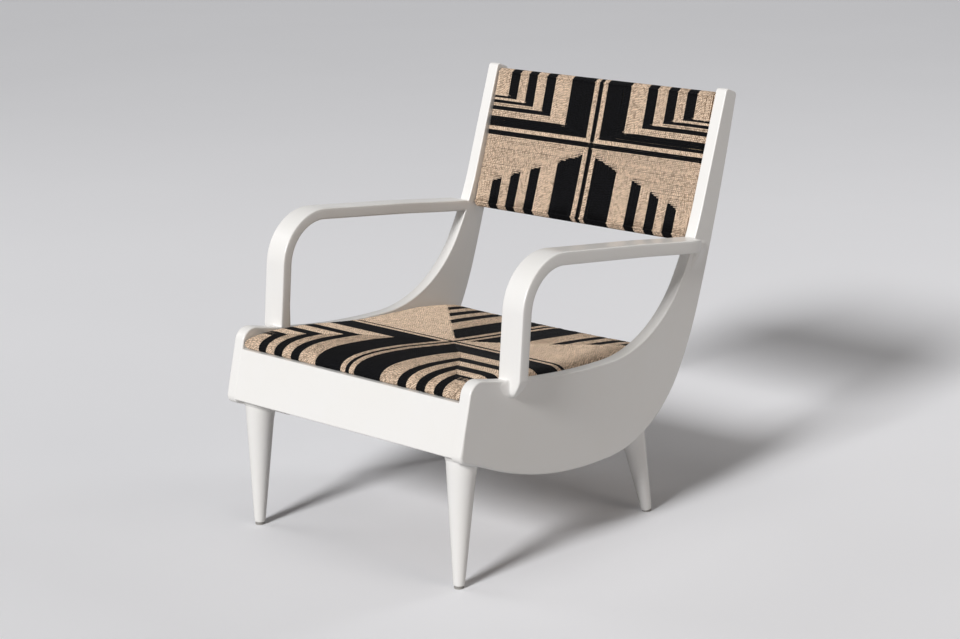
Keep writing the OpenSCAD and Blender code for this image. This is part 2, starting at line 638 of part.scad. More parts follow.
sided(-1) side_panel();  // side_panel_left
side_panel();  // side_panel_right
sided(-1) armrest();  // armrest_left
armrest();  // armrest_right
front_apron();
rear_stretcher();
sided(-1) leg_front();  // leg_front_left
leg_front();  // leg_front_right
sided(-1) leg_rear();  // leg_rear_left
leg_rear();  // leg_rear_right
leg_glides();
leg_bolts();
leg_inserts();
sided(-1) leg_block(front_block, block_screw_front);  // leg_block_front_left
leg_block(front_block, block_screw_front);  // leg_block_front_right
sided(-1) leg_block(rear_block, block_screw_rear);  // leg_block_rear_left
leg_block(rear_block, block_screw_rear);  // leg_block_rear_right
sided(-1) seat_cleat();  // seat_cleat_left
seat_cleat();  // seat_cleat_right
seat_rail_cross(true);  // seat_rail_front
seat_rail_cross(false);  // seat_rail_rear
sided(-1) seat_rail_side();  // seat_rail_left
seat_rail_side();  // seat_rail_right
back_rail_cross(true);  // back_rail_top
back_rail_cross(false);  // back_rail_bottom
sided(-1) back_stile();  // back_stile_left
back_stile();  // back_stile_right
seat_weave_natural();
seat_weave_black();
back_weave_natural();
back_weave_black();
apron_dowels();
stretcher_dowels();
arm_dowels();
seat_frame_dowels();
back_frame_dowels();
back_mount_dowels();
block_screws();
cleat_screws();
seat_screws();
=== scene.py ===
import json
import math

import bmesh
import bpy
import numpy as np
from mathutils import Matrix, Vector


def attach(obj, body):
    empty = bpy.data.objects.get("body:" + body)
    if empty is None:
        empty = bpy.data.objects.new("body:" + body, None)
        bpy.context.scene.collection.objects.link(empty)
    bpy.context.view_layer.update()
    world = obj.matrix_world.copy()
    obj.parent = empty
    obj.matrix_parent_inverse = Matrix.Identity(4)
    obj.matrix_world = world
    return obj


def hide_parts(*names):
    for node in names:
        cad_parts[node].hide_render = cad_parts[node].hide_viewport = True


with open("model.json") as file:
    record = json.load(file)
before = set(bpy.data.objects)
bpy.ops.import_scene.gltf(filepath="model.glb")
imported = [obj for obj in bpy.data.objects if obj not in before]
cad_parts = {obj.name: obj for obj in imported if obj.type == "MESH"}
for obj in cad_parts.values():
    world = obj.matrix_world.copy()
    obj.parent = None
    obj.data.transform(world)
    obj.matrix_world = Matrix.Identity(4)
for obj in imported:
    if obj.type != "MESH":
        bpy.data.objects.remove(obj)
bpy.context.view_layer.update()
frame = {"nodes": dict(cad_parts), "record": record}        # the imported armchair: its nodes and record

bl_info = {
    "name": "Woven armchair",
    "version": (1, 0, 0),
    "blender": (4, 5, 0),
    "location": "View3D > Sidebar > Armchair",
    "description": "Dresses the armchair: painted boards, bent armrests, turned legs and cord weave",
    "category": "Object",
}

BODY = "root"
MM = 0.001

# Sizes are in millimetres, measured from the front feet (y = 0) and the floor (z = 0).
FOOT_Y = 376.65               # how far the front feet stand ahead of the frame's origin
PANEL_OUT = 320.0
PANEL_IN = 294.0
TOE = (-33.0, 268.0)
TOE_TIP = (-35.4, 259.6)      # the toe's corner, that a straight line joins to the belly
TOE_JOIN = 33.0               # where that line meets the belly
CHEEK_Y = 33.0                # where the seat edge begins, behind the rounded brow
FRONT_LEAN = 14.3
POST_ANGLE = 71.0


def place(x, y, z):
    """A point of the chair's own sizes, in the frame's metres."""
    return Vector((x, y - FOOT_Y, z)) * MM


def placed(points):
    """An array of such points."""
    out = np.array(points, float)
    out[..., 1] -= FOOT_Y
    return out * MM


# ---------------------------------------------------------------- sizes and colours a user can change

class ArmchairPaint(bpy.types.PropertyGroup):
    """The painted wood."""
    color: bpy.props.FloatVectorProperty(
        name="Paint", description="Colour of the satin paint", subtype="COLOR",
        min=0.0, max=1.0, default=(0.80, 0.787, 0.768))
    rim: bpy.props.FloatProperty(
        name="Rounding", description="Rounding of the boards' rims",
        unit="LENGTH", min=0.0005, max=0.006, default=0.0032)
    cove: bpy.props.FloatProperty(
        name="Cove", description="Radius of the blends where an armrest meets its side panel",
        unit="LENGTH", min=0.002, max=0.014, default=0.010)
    roughness: bpy.props.FloatProperty(
        name="Roughness", description="Roughness of the satin paint", min=0.1, max=0.9, default=0.42)


class ArmchairCord(bpy.types.PropertyGroup):
    """The cord that the seat and the back are woven with."""
    natural: bpy.props.FloatVectorProperty(
        name="Natural cord", description="Colour of the natural cord", subtype="COLOR",
        min=0.0, max=1.0, default=(0.80, 0.625, 0.475))
    black: bpy.props.FloatVectorProperty(
        name="Black cord", description="Colour of the black cord", subtype="COLOR",
        min=0.0, max=1.0, default=(0.0042, 0.0043, 0.0056))
    diameter: bpy.props.FloatProperty(
        name="Diameter", description="Diameter of a cord", unit="LENGTH",
        min=0.002, max=0.005, default=0.0032)
    twist: bpy.props.FloatProperty(
        name="Twist", description="Length of one turn of the cord's strands",
        unit="LENGTH", min=0.003, max=0.03, default=0.0108)
    sides: bpy.props.IntProperty(
        name="Sides", description="Faces round a cord", min=5, max=12, default=7)


class ArmchairStage(bpy.types.PropertyGroup):
    """The floor and the light."""
    floor: bpy.props.FloatVectorProperty(
        name="Floor", description="Colour of the floor", subtype="COLOR",
        min=0.0, max=1.0, default=(0.92, 0.92, 0.945))
    key: bpy.props.FloatProperty(
        name="Key light", description="Strength of the broad light from ahead, in watts per square metre",
        min=0.0, max=20.0, default=2.96)
    fill: bpy.props.FloatProperty(
        name="Sky", description="Strength of the even light from all round", min=0.0, max=2.0, default=0.04)


# ---------------------------------------------------------------- outlines

def arc_end(start, heading, radius, turn):
    """Where an arc ends that starts at a heading and turns left, in degrees."""
    a, b = math.radians(heading), math.radians(heading + turn)
    return (start[0] + radius * (math.sin(b) - math.sin(a)),
            start[1] + radius * (math.cos(a) - math.cos(b)))


def arc(start, heading, radius, turn, count):
    return [arc_end(start, heading, radius, turn * i / count) for i in range(count + 1)]


def along(point, heading, length):
    a = math.radians(heading)
    return (point[0] + math.cos(a) * length, point[1] + math.sin(a) * length)


def heading_to(p, q):
    return math.degrees(math.atan2(q[1] - p[1], q[0] - p[0]))


def share(value, low, high):
    """How far value is on its way from low to high, from 0 to 1."""
    return min(1.0, max(0.0, (value - low) / (high - low)))


def meet(p, a, q, b):
    """Where the line through p at heading a meets the line through q at heading b."""
    a_, b_ = math.radians(a), math.radians(b)
    dx, dy = q[0] - p[0], q[1] - p[1]
    across = math.cos(a_) * math.sin(b_) - math.sin(a_) * math.cos(b_)
    return along(p, a, (dx * math.sin(b_) - dy * math.cos(b_)) / across)


def rounded(corner, a, b, radius, count):
    """Points of a corner between heading a coming in and heading b going out."""
    turn = b - a
    tangent = radius * abs(math.tan(math.radians(turn / 2)))
    start = along(corner, a, -tangent)
    if turn > 0:
        return arc(start, a, radius, turn, count)
    flipped = arc((0.0, 0.0), -a, radius, -turn, count)
    return [(start[0] + y, start[1] - z) for y, z in flipped]


# The side panel's lower edge from the toe to the top of the post, as arcs (radius, turn in degrees)
BELLY = (738.0, 30.6)
SWEEP = (265.0, 58.0)
RISE = (675.0, 12.4)
POST = (4420.0, 5.5)
LOW_1 = arc_end(TOE, -BELLY[1], *BELLY)
LOW_2 = (LOW_1[0] + 35.0, LOW_1[1])
LOW_3 = arc_end(LOW_2, 0.0, *SWEEP)
LOW_4 = arc_end(LOW_3, SWEEP[1], *RISE)
LOW_5 = arc_end(LOW_4, SWEEP[1] + RISE[1], *POST)
# and its upper edge, from the cheek along the seat and up the post's front
EDGE_R = 1507.0
IN_SWEEP = (265.0, 57.9)
IN_RISE = (675.0, 13.1)
IN_RUN = 232.0
UP_1 = (LOW_2[0] + 12.2, LOW_2[1] + 191.9)
EDGE_A = math.degrees(math.asin((UP_1[0] - CHEEK_Y) / EDGE_R))
CHEEK = (CHEEK_Y, UP_1[1] + EDGE_R * (1 - math.cos(math.radians(EDGE_A))))
UP_2 = arc_end(UP_1, 0.0, *IN_SWEEP)
UP_3 = arc_end(UP_2, IN_SWEEP[1], *IN_RISE)
UP_4 = along(UP_3, POST_ANGLE, IN_RUN)
# Rounding of its corners: the toe, the two ends of the post's top, and the brow above the apron
TOE_R, TOP_R, BROW_R = 13.0, 8.0, 32.0
TOP_CLEAR = 11.0              # the edges stop this far from the post's top corners


def front_y(z):
    return TOE[0] + (z - TOE[1]) * math.tan(math.radians(FRONT_LEAN))


def post_front_y(z):
    """The post's front line."""
    return UP_3[0] + (z - UP_3[1]) / math.tan(math.radians(POST_ANGLE))


def hollow_z(y, lowest, radius):
    """Height at y of an arc with its lowest point given."""
    return lowest[1] + radius - math.sqrt(radius ** 2 - (y - lowest[0]) ** 2)


def under_z(y):
    """Height of the panel's underside."""
    if y < TOE_JOIN:
        join = hollow_z(TOE_JOIN, LOW_1, BELLY[0])
        return join + (TOE_TIP[1] - join) * (TOE_JOIN - y) / (TOE_JOIN - TOE_TIP[0])
    if y < LOW_1[0]:
        return hollow_z(y, LOW_1, BELLY[0])
    return LOW_2[1] if y < LOW_2[0] else hollow_z(y, LOW_2, SWEEP[0])


def panel_outline():
    """Outline of a side panel, seen from the side."""
    gap = math.dist
    front, rear = 90 - FRONT_LEAN, SWEEP[1] + RISE[1] + POST[1]
    brow = meet(TOE, front, CHEEK, 180 - EDGE_A)
    top = heading_to(LOW_5, UP_4)
    low = (arc(TOE, -BELLY[1], *BELLY, 60) + [LOW_2] + arc(LOW_2, 0.0, *SWEEP, 60)[1:]
           + arc(LOW_3, SWEEP[1], *RISE, 24)[1:] + arc(LOW_4, SWEEP[1] + RISE[1], *POST, 30)[1:])
    up = (arc(CHEEK, -EDGE_A, EDGE_R, EDGE_A, 44) + arc(UP_1, 0.0, *IN_SWEEP, 60)[1:]
          + arc(UP_2, IN_SWEEP[1], *IN_RISE, 26)[1:]
          + [along(UP_3, POST_ANGLE, IN_RUN * i / 24) for i in range(1, 25)])
    fall = heading_to(TOE_TIP, (TOE_JOIN, under_z(TOE_JOIN)))
    points = rounded(TOE_TIP, -180 + front, fall, TOE_R, 12)
    points += [(y, under_z(y)) for y in (-20.0, -8.0, 6.0, 20.0, TOE_JOIN)]
    points += [p for p in low if p[0] > TOE_JOIN + 4 and gap(p, LOW_5) > TOP_CLEAR]
    points += rounded(LOW_5, rear, top, TOP_R, 10) + rounded(UP_4, top, POST_ANGLE + 180, TOP_R, 10)
    points += [p for p in reversed(up) if gap(p, UP_4) > TOP_CLEAR]
    points += rounded(brow, 180 - EDGE_A, 180 + front, min(BROW_R, gap(brow, CHEEK) - 1), 14)
    kept = [points[0]]
    for p in points[1:]:
        if gap(p, kept[-1]) > 0.6:
            kept.append(p)
    return kept


def outline_distance(points, outline):
    """Signed distance of (y, z) points to a closed outline, negative inside."""
    a = np.array(outline)
    b = np.roll(a, -1, axis=0)
    edge = b - a
    ay, by = a[None, :, 1], b[None, :, 1]
    span = np.where(by == ay, 1e-9, by - ay)
    out = np.empty(len(points))
    batch = 4000
    for start in range(0, len(points), batch):
        p = points[start:start + batch]
        rel = p[:, None, :] - a[None]
        t = np.clip((rel * edge).sum(-1) / (edge * edge).sum(-1), 0, 1)
        away = np.sqrt(((rel - t[..., None] * edge) ** 2).sum(-1)).min(1)
        crosses = (ay > p[:, 1:2]) != (by > p[:, 1:2])
        at = a[None, :, 0] + (p[:, 1:2] - ay) / span * (b[None, :, 0] - a[None, :, 0])
        inside = (crosses & (p[:, 0:1] < at)).sum(1) % 2 == 1
        out[start:start + batch] = np.where(inside, -away, away)
    return out


# ---------------------------------------------------------------- modelling helpers

def only(piece):
    """Leaves one piece, or none, selected and active."""
    for other in list(bpy.context.selected_objects):
        other.select_set(False)
    if piece is not None:
        piece.select_set(True)
        bpy.context.view_layer.objects.active = piece


def edited(piece, *steps):
    """Runs steps in edit mode, each on the whole mesh."""
    only(piece)
    bpy.ops.object.mode_set(mode="EDIT")
    for step in steps:
        bpy.ops.mesh.select_all(action="SELECT")
        step()
    bpy.ops.object.mode_set(mode="OBJECT")
    return piece


def outward():
    bpy.ops.mesh.normals_make_consistent(inside=False)


def extruded(x, y, z):
    bpy.ops.mesh.extrude_region_move(TRANSFORM_OT_translate={"value": (x, y, z)})


def merged(distance):
    bpy.ops.mesh.remove_doubles(threshold=distance)


def applied(piece, kind, **settings):
    """Adds a modifier to the active piece and applies it."""
    step = piece.modifiers.new(kind, kind)
    for key, value in settings.items():
        setattr(step, key, value)
    bpy.ops.object.modifier_apply(modifier=step.name)


def new_piece(name, mesh):
    piece = bpy.data.objects.new(name, mesh)
    bpy.context.collection.objects.link(piece)
    return piece


def settle(piece, name, material, slot, *nodes):
    """Names a finished piece, gives it its material, and fixes it to the chair."""
    piece.name = piece.data.name = name
    piece.data.materials.clear()
    piece.data.materials.append(material)
    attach(piece, BODY)
    if nodes:
        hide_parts(*nodes)


def smooth(piece, angle=38.0):
    """Smooth shading that keeps the flat faces flat."""
    only(piece)
    bpy.ops.object.shade_smooth_by_angle(angle=math.radians(angle))
    applied(piece, "WEIGHTED_NORMAL", keep_sharp=True)


def mirrored(piece):
    """A copy for the chair's other side, with its own mesh."""
    only(piece)
    bpy.ops.object.duplicate()
    return edited(bpy.context.object,
                  lambda: bpy.ops.transform.resize(value=(-1, 1, 1), center_override=(0, 0, 0)), outward)


def both_sides(right, name, node_name, angle=38.0):
    """Finishes a painted piece on the right and its mirror image on the left."""
    for piece, side in ((right, "right"), (mirrored(right), "left")):
        smooth(piece, angle)
        settle(piece, f"{name}_{side}", finish("painted frame"), "painted_frame", f"{node_name}_{side}")


def board(outline, x0, x1, rim=None):
    """A board with the given (y, z) outline from x0 to x1; rim(x, y, z) gives the rounding there."""
    only(None)
    bpy.ops.mesh.primitive_circle_add(vertices=len(outline), radius=0.1, fill_type="NGON")
    piece = bpy.context.object
    for vert, (y, z) in zip(piece.data.vertices, outline):
        vert.co = place(x0, y, z)
    edited(piece, lambda: extruded((x1 - x0) * MM, 0, 0), outward)
    if rim:
        widest = 8.0
        share = piece.data.attributes.new("bevel_weight_edge", "FLOAT", "EDGE")
        for edge in piece.data.edges:
            p, q = (piece.data.vertices[i].co for i in edge.vertices)
            if abs(p.x - q.x) < 1e-6:
                mid = (p + q) / 2 / MM
                share.data[edge.index].value = rim(mid.x, mid.y + FOOT_Y, mid.z) / widest
        applied(piece, "BEVEL", limit_method="WEIGHT", width=widest * MM, segments=4, use_clamp_overlap=False)
    return piece


def turned(radii, heights, sides=72):
    """A turned piece on the z axis, drawn up ring by ring."""
    radii, heights = [r * MM for r in radii], [h * MM for h in heights]
    only(None)
    bpy.ops.mesh.primitive_circle_add(vertices=sides, radius=radii[0], fill_type="NGON",
                                      location=(0, 0, heights[0]))
    piece = bpy.context.object
    bpy.ops.object.transform_apply(location=True, rotation=False, scale=False)
    bpy.ops.object.mode_set(mode="EDIT")
    bpy.ops.mesh.select_all(action="SELECT")
    for i in range(1, len(radii)):
        extruded(0, 0, heights[i] - heights[i - 1])
        k = radii[i] / radii[i - 1]
        bpy.ops.transform.resize(value=(k, k, 1), center_override=(0, 0, heights[i]))
    bpy.ops.object.mode_set(mode="OBJECT")
    return edited(piece, outward)


def mark_rims(piece, small=2.2e-5):
    """Marks the rounded rims, where paint wears, in the attribute rim: their faces have a small area."""
    shape = bmesh.new()
    shape.from_mesh(piece.data)
    worn = [float(all(f.calc_area() < small for f in v.link_faces)) for v in shape.verts]
    shape.free()
    piece.data.attributes.new("rim", "FLOAT", "POINT").data.foreach_set("value", worn)


# ---------------------------------------------------------------- shader nodes

def fill(tree, item, inputs):
    """Joins or sets a node's inputs, by name or number."""
    for key, value in dict(inputs).items():
        if isinstance(value, bpy.types.NodeSocket):
            tree.links.new(value, item.inputs[key])
        else:
            item.inputs[key].default_value = value
    return item


def node(tree, kind, inputs=(), **settings):
    """Adds a node, sets it and fills its inputs."""
    item = tree.nodes.new(kind)
    for key, value in settings.items():
        setattr(item, key, value)
    return fill(tree, item, inputs)


def math_node(tree, operation, a, b=0.0):
    return node(tree, "ShaderNodeMath", {0: a, 1: b}, operation=operation).outputs[0]


def plus(tree, a, b):
    return math_node(tree, "ADD", a, b)


def times(tree, a, b):
    return math_node(tree, "MULTIPLY", a, b)


def mixed(tree, factor, a, b):
    return node(tree, "ShaderNodeMix", {0: factor, 6: a, 7: b}, data_type="RGBA").outputs[2]


def ranged(tree, value, low, high, to_low=0.0, to_high=1.0):
    return node(tree, "ShaderNodeMapRange", {"Value": value, "From Min": low, "From Max": high,
                "To Min": to_low, "To Max": to_high}).outputs["Result"]


def noise(tree, vector, scale, detail=2.0, roughness=0.5):
    return node(tree, "ShaderNodeTexNoise", {"Vector": vector, "Scale": scale, "Detail": detail,
                "Roughness": roughness}).outputs["Fac"]


def joined(tree, *parts):
    return node(tree, "ShaderNodeCombineXYZ", dict(enumerate(parts))).outputs[0]


def stretched(tree, vector, *scale):
    return node(tree, "ShaderNodeMapping", {"Vector": vector, "Scale": scale}).outputs[0]


def bump(tree, height, strength, distance):
    return node(tree, "ShaderNodeBump", {"Height": height, "Strength": strength,
                "Distance": distance}).outputs[0]


def rgba(color, tint=1.0):
    """A colour for a socket, times one number or one for each channel."""
    tint = tint if isinstance(tint, tuple) else (tint,) * 3
    return tuple(c * k for c, k in zip(color, tint)) + (1.0,)


# ---------------------------------------------------------------- shader groups

def brushed_coat(tree, given):
    """Soft brush marks and the faint unevenness of a painted surface."""
    marks = noise(tree, stretched(tree, given["Vector"], 1.0, 0.16, 0.3), given["Marks"], 2.0, 0.55)
    orange = noise(tree, given["Vector"], 420.0, 1.0)
    return {"Mottling": noise(tree, given["Vector"], given["Mottle"], 3.0, 0.55),
            "Height": plus(tree, times(tree, marks, 0.6), times(tree, orange, 0.4))}


def paint_chip(tree, given):
    """Small chips of missing paint within a spot."""
    away = node(tree, "ShaderNodeVectorMath", {0: given["Vector"], 1: given["Place"]},
                operation="DISTANCE").outputs["Value"]
    ragged = times(tree, noise(tree, given["Vector"], 900.0, 3.0, 0.7), given["Size"])
    reach = plus(tree, away, times(tree, ragged, 1.6))
    return {"Chip": math_node(tree, "LESS_THAN", reach, times(tree, given["Size"], 1.7))}


def cord_twist(tree, given):
    """The strands of a twisted cord: u runs along it in metres and v once round it."""
    parts = node(tree, "ShaderNodeSeparateXYZ", {0: given["UV"]})
    u, v, seed = parts.outputs[0], parts.outputs[1], given["Seed"]
    wobble = noise(tree, joined(tree, times(tree, u, 60.0), times(tree, seed, 91.0)), 1.0, 2.0)
    phase = plus(tree, math_node(tree, "DIVIDE", u, given["Turn"]), plus(tree, v, times(tree, seed, 7.0)))
    phase = plus(tree, phase, times(tree, wobble, 0.55))
    wave = math_node(tree, "ABSOLUTE", math_node(tree, "SINE", times(tree, phase, 2 * math.pi)))
    ply = math_node(tree, "POWER", wave, 0.75)
    # fibres lie along the strands, so they are drawn in the strands' own skewed measure
    skew = joined(tree, times(tree, phase, 26.0), times(tree, u, 260.0), times(tree, seed, 53.0))
    fibre = noise(tree, skew, 1.0, 3.0, 0.6)
    # Groove shade marks the grooves between the strands, where the cord material paints shade
    return {"Groove": math_node(tree, "SUBTRACT", 1.0, ply), "Fibre": fibre,
            "Height": plus(tree, ply, times(tree, fibre, 0.28))}


def wood_grain(tree, given):
    """Growth rings and pores of planed wood that runs along one axis."""
    bent = noise(tree, given["Vector"], 7.0, 2.0)
    sway = joined(tree, 0.0, times(tree, bent, 0.03), times(tree, bent, 0.04))
    warped = node(tree, "ShaderNodeVectorMath", {0: given["Vector"], 1: sway}, operation="ADD").outputs[0]
    rings = node(tree, "ShaderNodeTexWave", {"Vector": warped, "Scale": given["Rings"],
                 "Distortion": 2.2, "Detail": 2.0, "Detail Scale": 0.6},
                 wave_type="BANDS", bands_direction="DIAGONAL").outputs["Fac"]
    pores = noise(tree, warped, 620.0, 2.0, 0.6)
    return {"Grain": plus(tree, times(tree, rings, 0.65), times(tree, pores, 0.35)), "Height": pores}


# Each group's builder, its inputs with their defaults, and its outputs
GROUPS = {
    "brushed coat": (brushed_coat, {"Vector": (0, 0, 0), "Marks": 260.0, "Mottle": 9.0},
                     ("Mottling", "Height")),
    "paint chip": (paint_chip, {"Vector": (0, 0, 0), "Place": (0, 0, 0), "Size": 0.002}, ("Chip",)),
    "cord twist": (cord_twist, {"UV": (0, 0, 0), "Turn": 0.0085, "Seed": 0.0},
                   ("Groove", "Fibre", "Height")),
    "wood grain": (wood_grain, {"Vector": (0, 0, 0), "Rings": 55.0}, ("Grain", "Height")),
}


def placed_group(tree, name, inputs):
    """Places a shader group in a material with its own values, building the group at its first use."""
    group = bpy.data.node_groups.get(name)
    if group is None:
        build, sockets, outputs = GROUPS[name]
        group = bpy.data.node_groups.new(name, "ShaderNodeTree")
        for label, value in sockets.items():
            kind = "NodeSocketVector" if isinstance(value, tuple) else "NodeSocketFloat"
            group.interface.new_socket(label, in_out="INPUT", socket_type=kind).default_value = value
        for label in outputs:
            group.interface.new_socket(label, in_out="OUTPUT", socket_type="NodeSocketFloat")
        given = group.nodes.new("NodeGroupInput").outputs
        fill(group, group.nodes.new("NodeGroupOutput"), build(group, given))
    return node(tree, "ShaderNodeGroup", inputs, node_tree=group).outputs


# ---------------------------------------------------------------- materials

PRIMER = (0.52, 0.46, 0.38)
BARE_WOOD = (0.27, 0.19, 0.12)
# Where paint is missing, and how large the spot is in metres
CHIPS = [((276.0, 528.0, 118.0), 0.0028), ((320.0, 440.0, 172.0), 0.0022), ((320.0, 446.0, 174.5), 0.0014)]


def paint(tree, where):
    """Warm white satin paint, a little uneven, thin on the rims and chipped in two places."""
    look = bpy.context.scene.armchair_paint
    coat = placed_group(tree, "brushed coat", {"Vector": where})
    shade = mixed(tree, ranged(tree, coat["Mottling"], 0.35, 0.75, 0.0, 0.35),
                  rgba(look.color), rgba(look.color, (0.965, 0.95, 0.915)))
    rim = node(tree, "ShaderNodeAttribute", attribute_name="rim").outputs["Fac"]
    speck = ranged(tree, noise(tree, where, 150.0, 4.0, 0.7), 0.66, 0.72)
    shade = mixed(tree, times(tree, times(tree, rim, speck), 0.35), shade, rgba(PRIMER))
    for spot, size in CHIPS:
        chip = placed_group(tree, "paint chip", {"Vector": where, "Place": tuple(place(*spot)), "Size": size})
        shade = mixed(tree, times(tree, chip["Chip"], 0.85), shade, rgba(BARE_WOOD))
    rough = look.roughness
    return {"Base Color": shade, "Coat Weight": 0.4, "Coat Roughness": 0.2,
            "Roughness": ranged(tree, coat["Mottling"], 0.3, 0.8, rough - 0.05, rough + 0.07),
            "Normal": bump(tree, coat["Height"], 0.10, 0.0006)}


def cord(tree, where, color, contrast, rough):
    """Twisted cord, with its strands, fibres and a tone for each cord: random, and also painted light, as the
    back's cords get paler tones than the seat's.
    """
    look = bpy.context.scene.armchair_cord
    color = getattr(look, color)
    uv = node(tree, "ShaderNodeUVMap", uv_map="cord").outputs[0]
    seed = node(tree, "ShaderNodeAttribute", attribute_name="cord_tone").outputs["Fac"]
    twist = placed_group(tree, "cord twist", {"UV": uv, "Turn": look.twist, "Seed": seed})
    u = node(tree, "ShaderNodeSeparateXYZ", {0: uv}).outputs[0]
    fleck = noise(tree, joined(tree, times(tree, u, 230.0), times(tree, seed, 77.0)), 1.0, 1.0, 0.6)
    grit = noise(tree, stretched(tree, where, 1.0, 0.35, 0.7), 215.0, 1.0, 0.5)
    patch = noise(tree, where, 16.0, 3.0, 0.55)
    # the tone also carries painted light: each panel gives its cords a range of tones, paler on the back than
    # on the seat
    tone = plus(tree, times(tree, seed, 0.75), times(tree, patch, 0.25))
    base = mixed(tree, tone, rgba(color, 1.0 - contrast), rgba(color, 1.0 + contrast))
    # over that: dark flecks and grit, pale flecks, grit and fibres, and painted shade in the grooves between
    # the strands
    for mask, low, high, at_low, at_high, tint in (
            (fleck, 0.34, 0.49, 0.95, 0.0, (0.36, 0.31, 0.28)),
            (grit, 0.32, 0.47, 0.9, 0.0, (0.42, 0.39, 0.36)),
            (fleck, 0.50, 0.62, 0.0, 0.9, 1.24),
            (grit, 0.53, 0.66, 0.0, 0.9, 1.26),
            (twist["Fibre"], 0.35, 0.7, 0.0, 0.5, 1.26),
            (twist["Groove"], 0.2, 0.75, 0.0, 0.85, (0.28, 0.24, 0.20))):
        base = mixed(tree, ranged(tree, mask, low, high, at_low, at_high), base, rgba(color, tint))
    return {"Base Color": base, "Roughness": rough, "Specular IOR Level": 0.1,
            "Normal": bump(tree, twist["Height"], 1.0, 0.0011)}


def packing(tree, where):
    """The fibre packing between the two layers of cord, drawn darker than the cord as painted shade in the
    gaps between the cords.
    """
    natural = bpy.context.scene.armchair_cord.natural
    straw = noise(tree, where, 300.0, 4.0, 0.7)
    return {"Base Color": mixed(tree, straw, rgba(natural, 0.16), rgba(natural, 0.42)),
            "Roughness": 0.95, "Normal": bump(tree, straw, 0.6, 0.001)}


def wood(tree, where):
    """Planed, unfinished wood of the hidden frame."""
    along_x = stretched(tree, where, 0.12, 1.0, 1.0)
    grain = placed_group(tree, "wood grain", {"Vector": along_x, "Rings": 48.0})
    tone = ranged(tree, grain["Grain"], 0.2, 0.8)
    return {"Base Color": mixed(tree, tone, rgba((0.56, 0.37, 0.20)), rgba((0.72, 0.53, 0.32))),
            "Roughness": ranged(tree, tone, 0.0, 1.0, 0.62, 0.75),
            "Normal": bump(tree, grain["Height"], 0.25, 0.0005)}


def steel(tree, where):
    """Zinc plated fasteners."""
    spangle = noise(tree, where, 240.0, 3.0, 0.6)
    return {"Base Color": mixed(tree, spangle, rgba((0.48, 0.49, 0.50)), rgba((0.68, 0.69, 0.70))),
            "Roughness": ranged(tree, spangle, 0.3, 0.7, 0.28, 0.45), "Metallic": 1.0,
            "Normal": bump(tree, spangle, 0.1, 0.0003)}


def glide(tree, where):
    """Grey moulded glides, scuffed at the floor."""
    grit = noise(tree, where, 900.0, 3.0, 0.6)
    height = node(tree, "ShaderNodeSeparateXYZ", {0: where}).outputs[2]
    scuff = times(tree, ranged(tree, height, 0.0025, 0.0), grit)
    base = mixed(tree, grit, rgba((0.24, 0.23, 0.215)), rgba((0.33, 0.32, 0.30)))
    return {"Base Color": mixed(tree, scuff, base, rgba((0.45, 0.44, 0.42))), "Roughness": 0.55,
            "Normal": bump(tree, grit, 0.15, 0.0003)}


def pale_floor(tree, where):
    """A matt, faintly cloudy floor that the camera sees pale, and that lights the chair as a darker one."""
    tone = bpy.context.scene.armchair_stage.floor
    cloud = noise(tree, where, 1.3, 3.0, 0.5)
    pale = mixed(tree, cloud, rgba(tone, 0.985), rgba(tone, 1.015))
    seen = node(tree, "ShaderNodeLightPath").outputs["Is Camera Ray"]
    return {"Base Color": mixed(tree, seen, rgba(tone, 0.68), pale), "Roughness": 0.9,
            "Specular IOR Level": 0.08}


# Each material's builder; the cords' have their colour, its contrast and their roughness too
FINISHES = {
    "painted frame": (paint,), "fibre packing": (packing,), "raw wood": (wood,), "plated steel": (steel,),
    "grey glide": (glide,), "pale floor": (pale_floor,),
    "natural cord": (cord, "natural", 0.16, 0.8), "black cord": (cord, "black", 0.35, 0.7),
}


def finish(name):
    """The material of that name, built at its first use."""
    material = bpy.data.materials.get(name)
    if material is None:
        material = bpy.data.materials.new(name)
        material.use_nodes = True
        tree = material.node_tree
        build, *values = FINISHES[name]
        where = node(tree, "ShaderNodeTexCoord").outputs["Object"]
        fill(tree, tree.nodes["Principled BSDF"], build(tree, where, *values))
    return material


# ---------------------------------------------------------------- painted frame

# The rims' rounding lessens up the post, and grows along the outer lower edge towards the toe
CRISP_Z = (400.0, 480.0)
CRISP_LESS = 0.28
SOFT_Y = (250.0, 20.0)
SOFT_MORE = 3.2
SOFT_WITHIN = 300.0           # that edge is ahead of this, and lower


class ARMCHAIR_OT_side_panels(bpy.types.Operator):
    """Cuts the two curved side panels with their back posts"""
    bl_idname = "armchair.side_panels"
    bl_label = "Side panels"

    def execute(self, context):
        rim = context.scene.armchair_paint.rim / MM

        def rounding(x, y, z):
            """Softer along the outer lower edge towards the toe, crisper up the post."""
            outer_under = x > (PANEL_IN + PANEL_OUT) / 2 and z < SOFT_WITHIN and y < SOFT_WITHIN
            soft = share(y, *SOFT_Y) if outer_under else 0.0
            return rim * (1 - CRISP_LESS * share(z, *CRISP_Z)) + SOFT_MORE * soft ** 1.5

        right = board(panel_outline(), PANEL_IN, PANEL_OUT, rounding)
        mark_rims(right)
        both_sides(right, "panel", "side_panel")
        return {"FINISHED"}


APRON_LOW = 264.0
APRON_HIGH = 363.0
APRON_T = 22.0
APRON_SEAM = 0.9              # an open joint at the left end; the right one is filled flush
APRON_ROUND = (2.6, 1.5, 2.0, 2.6)      # front below, rear below, rear above, front above


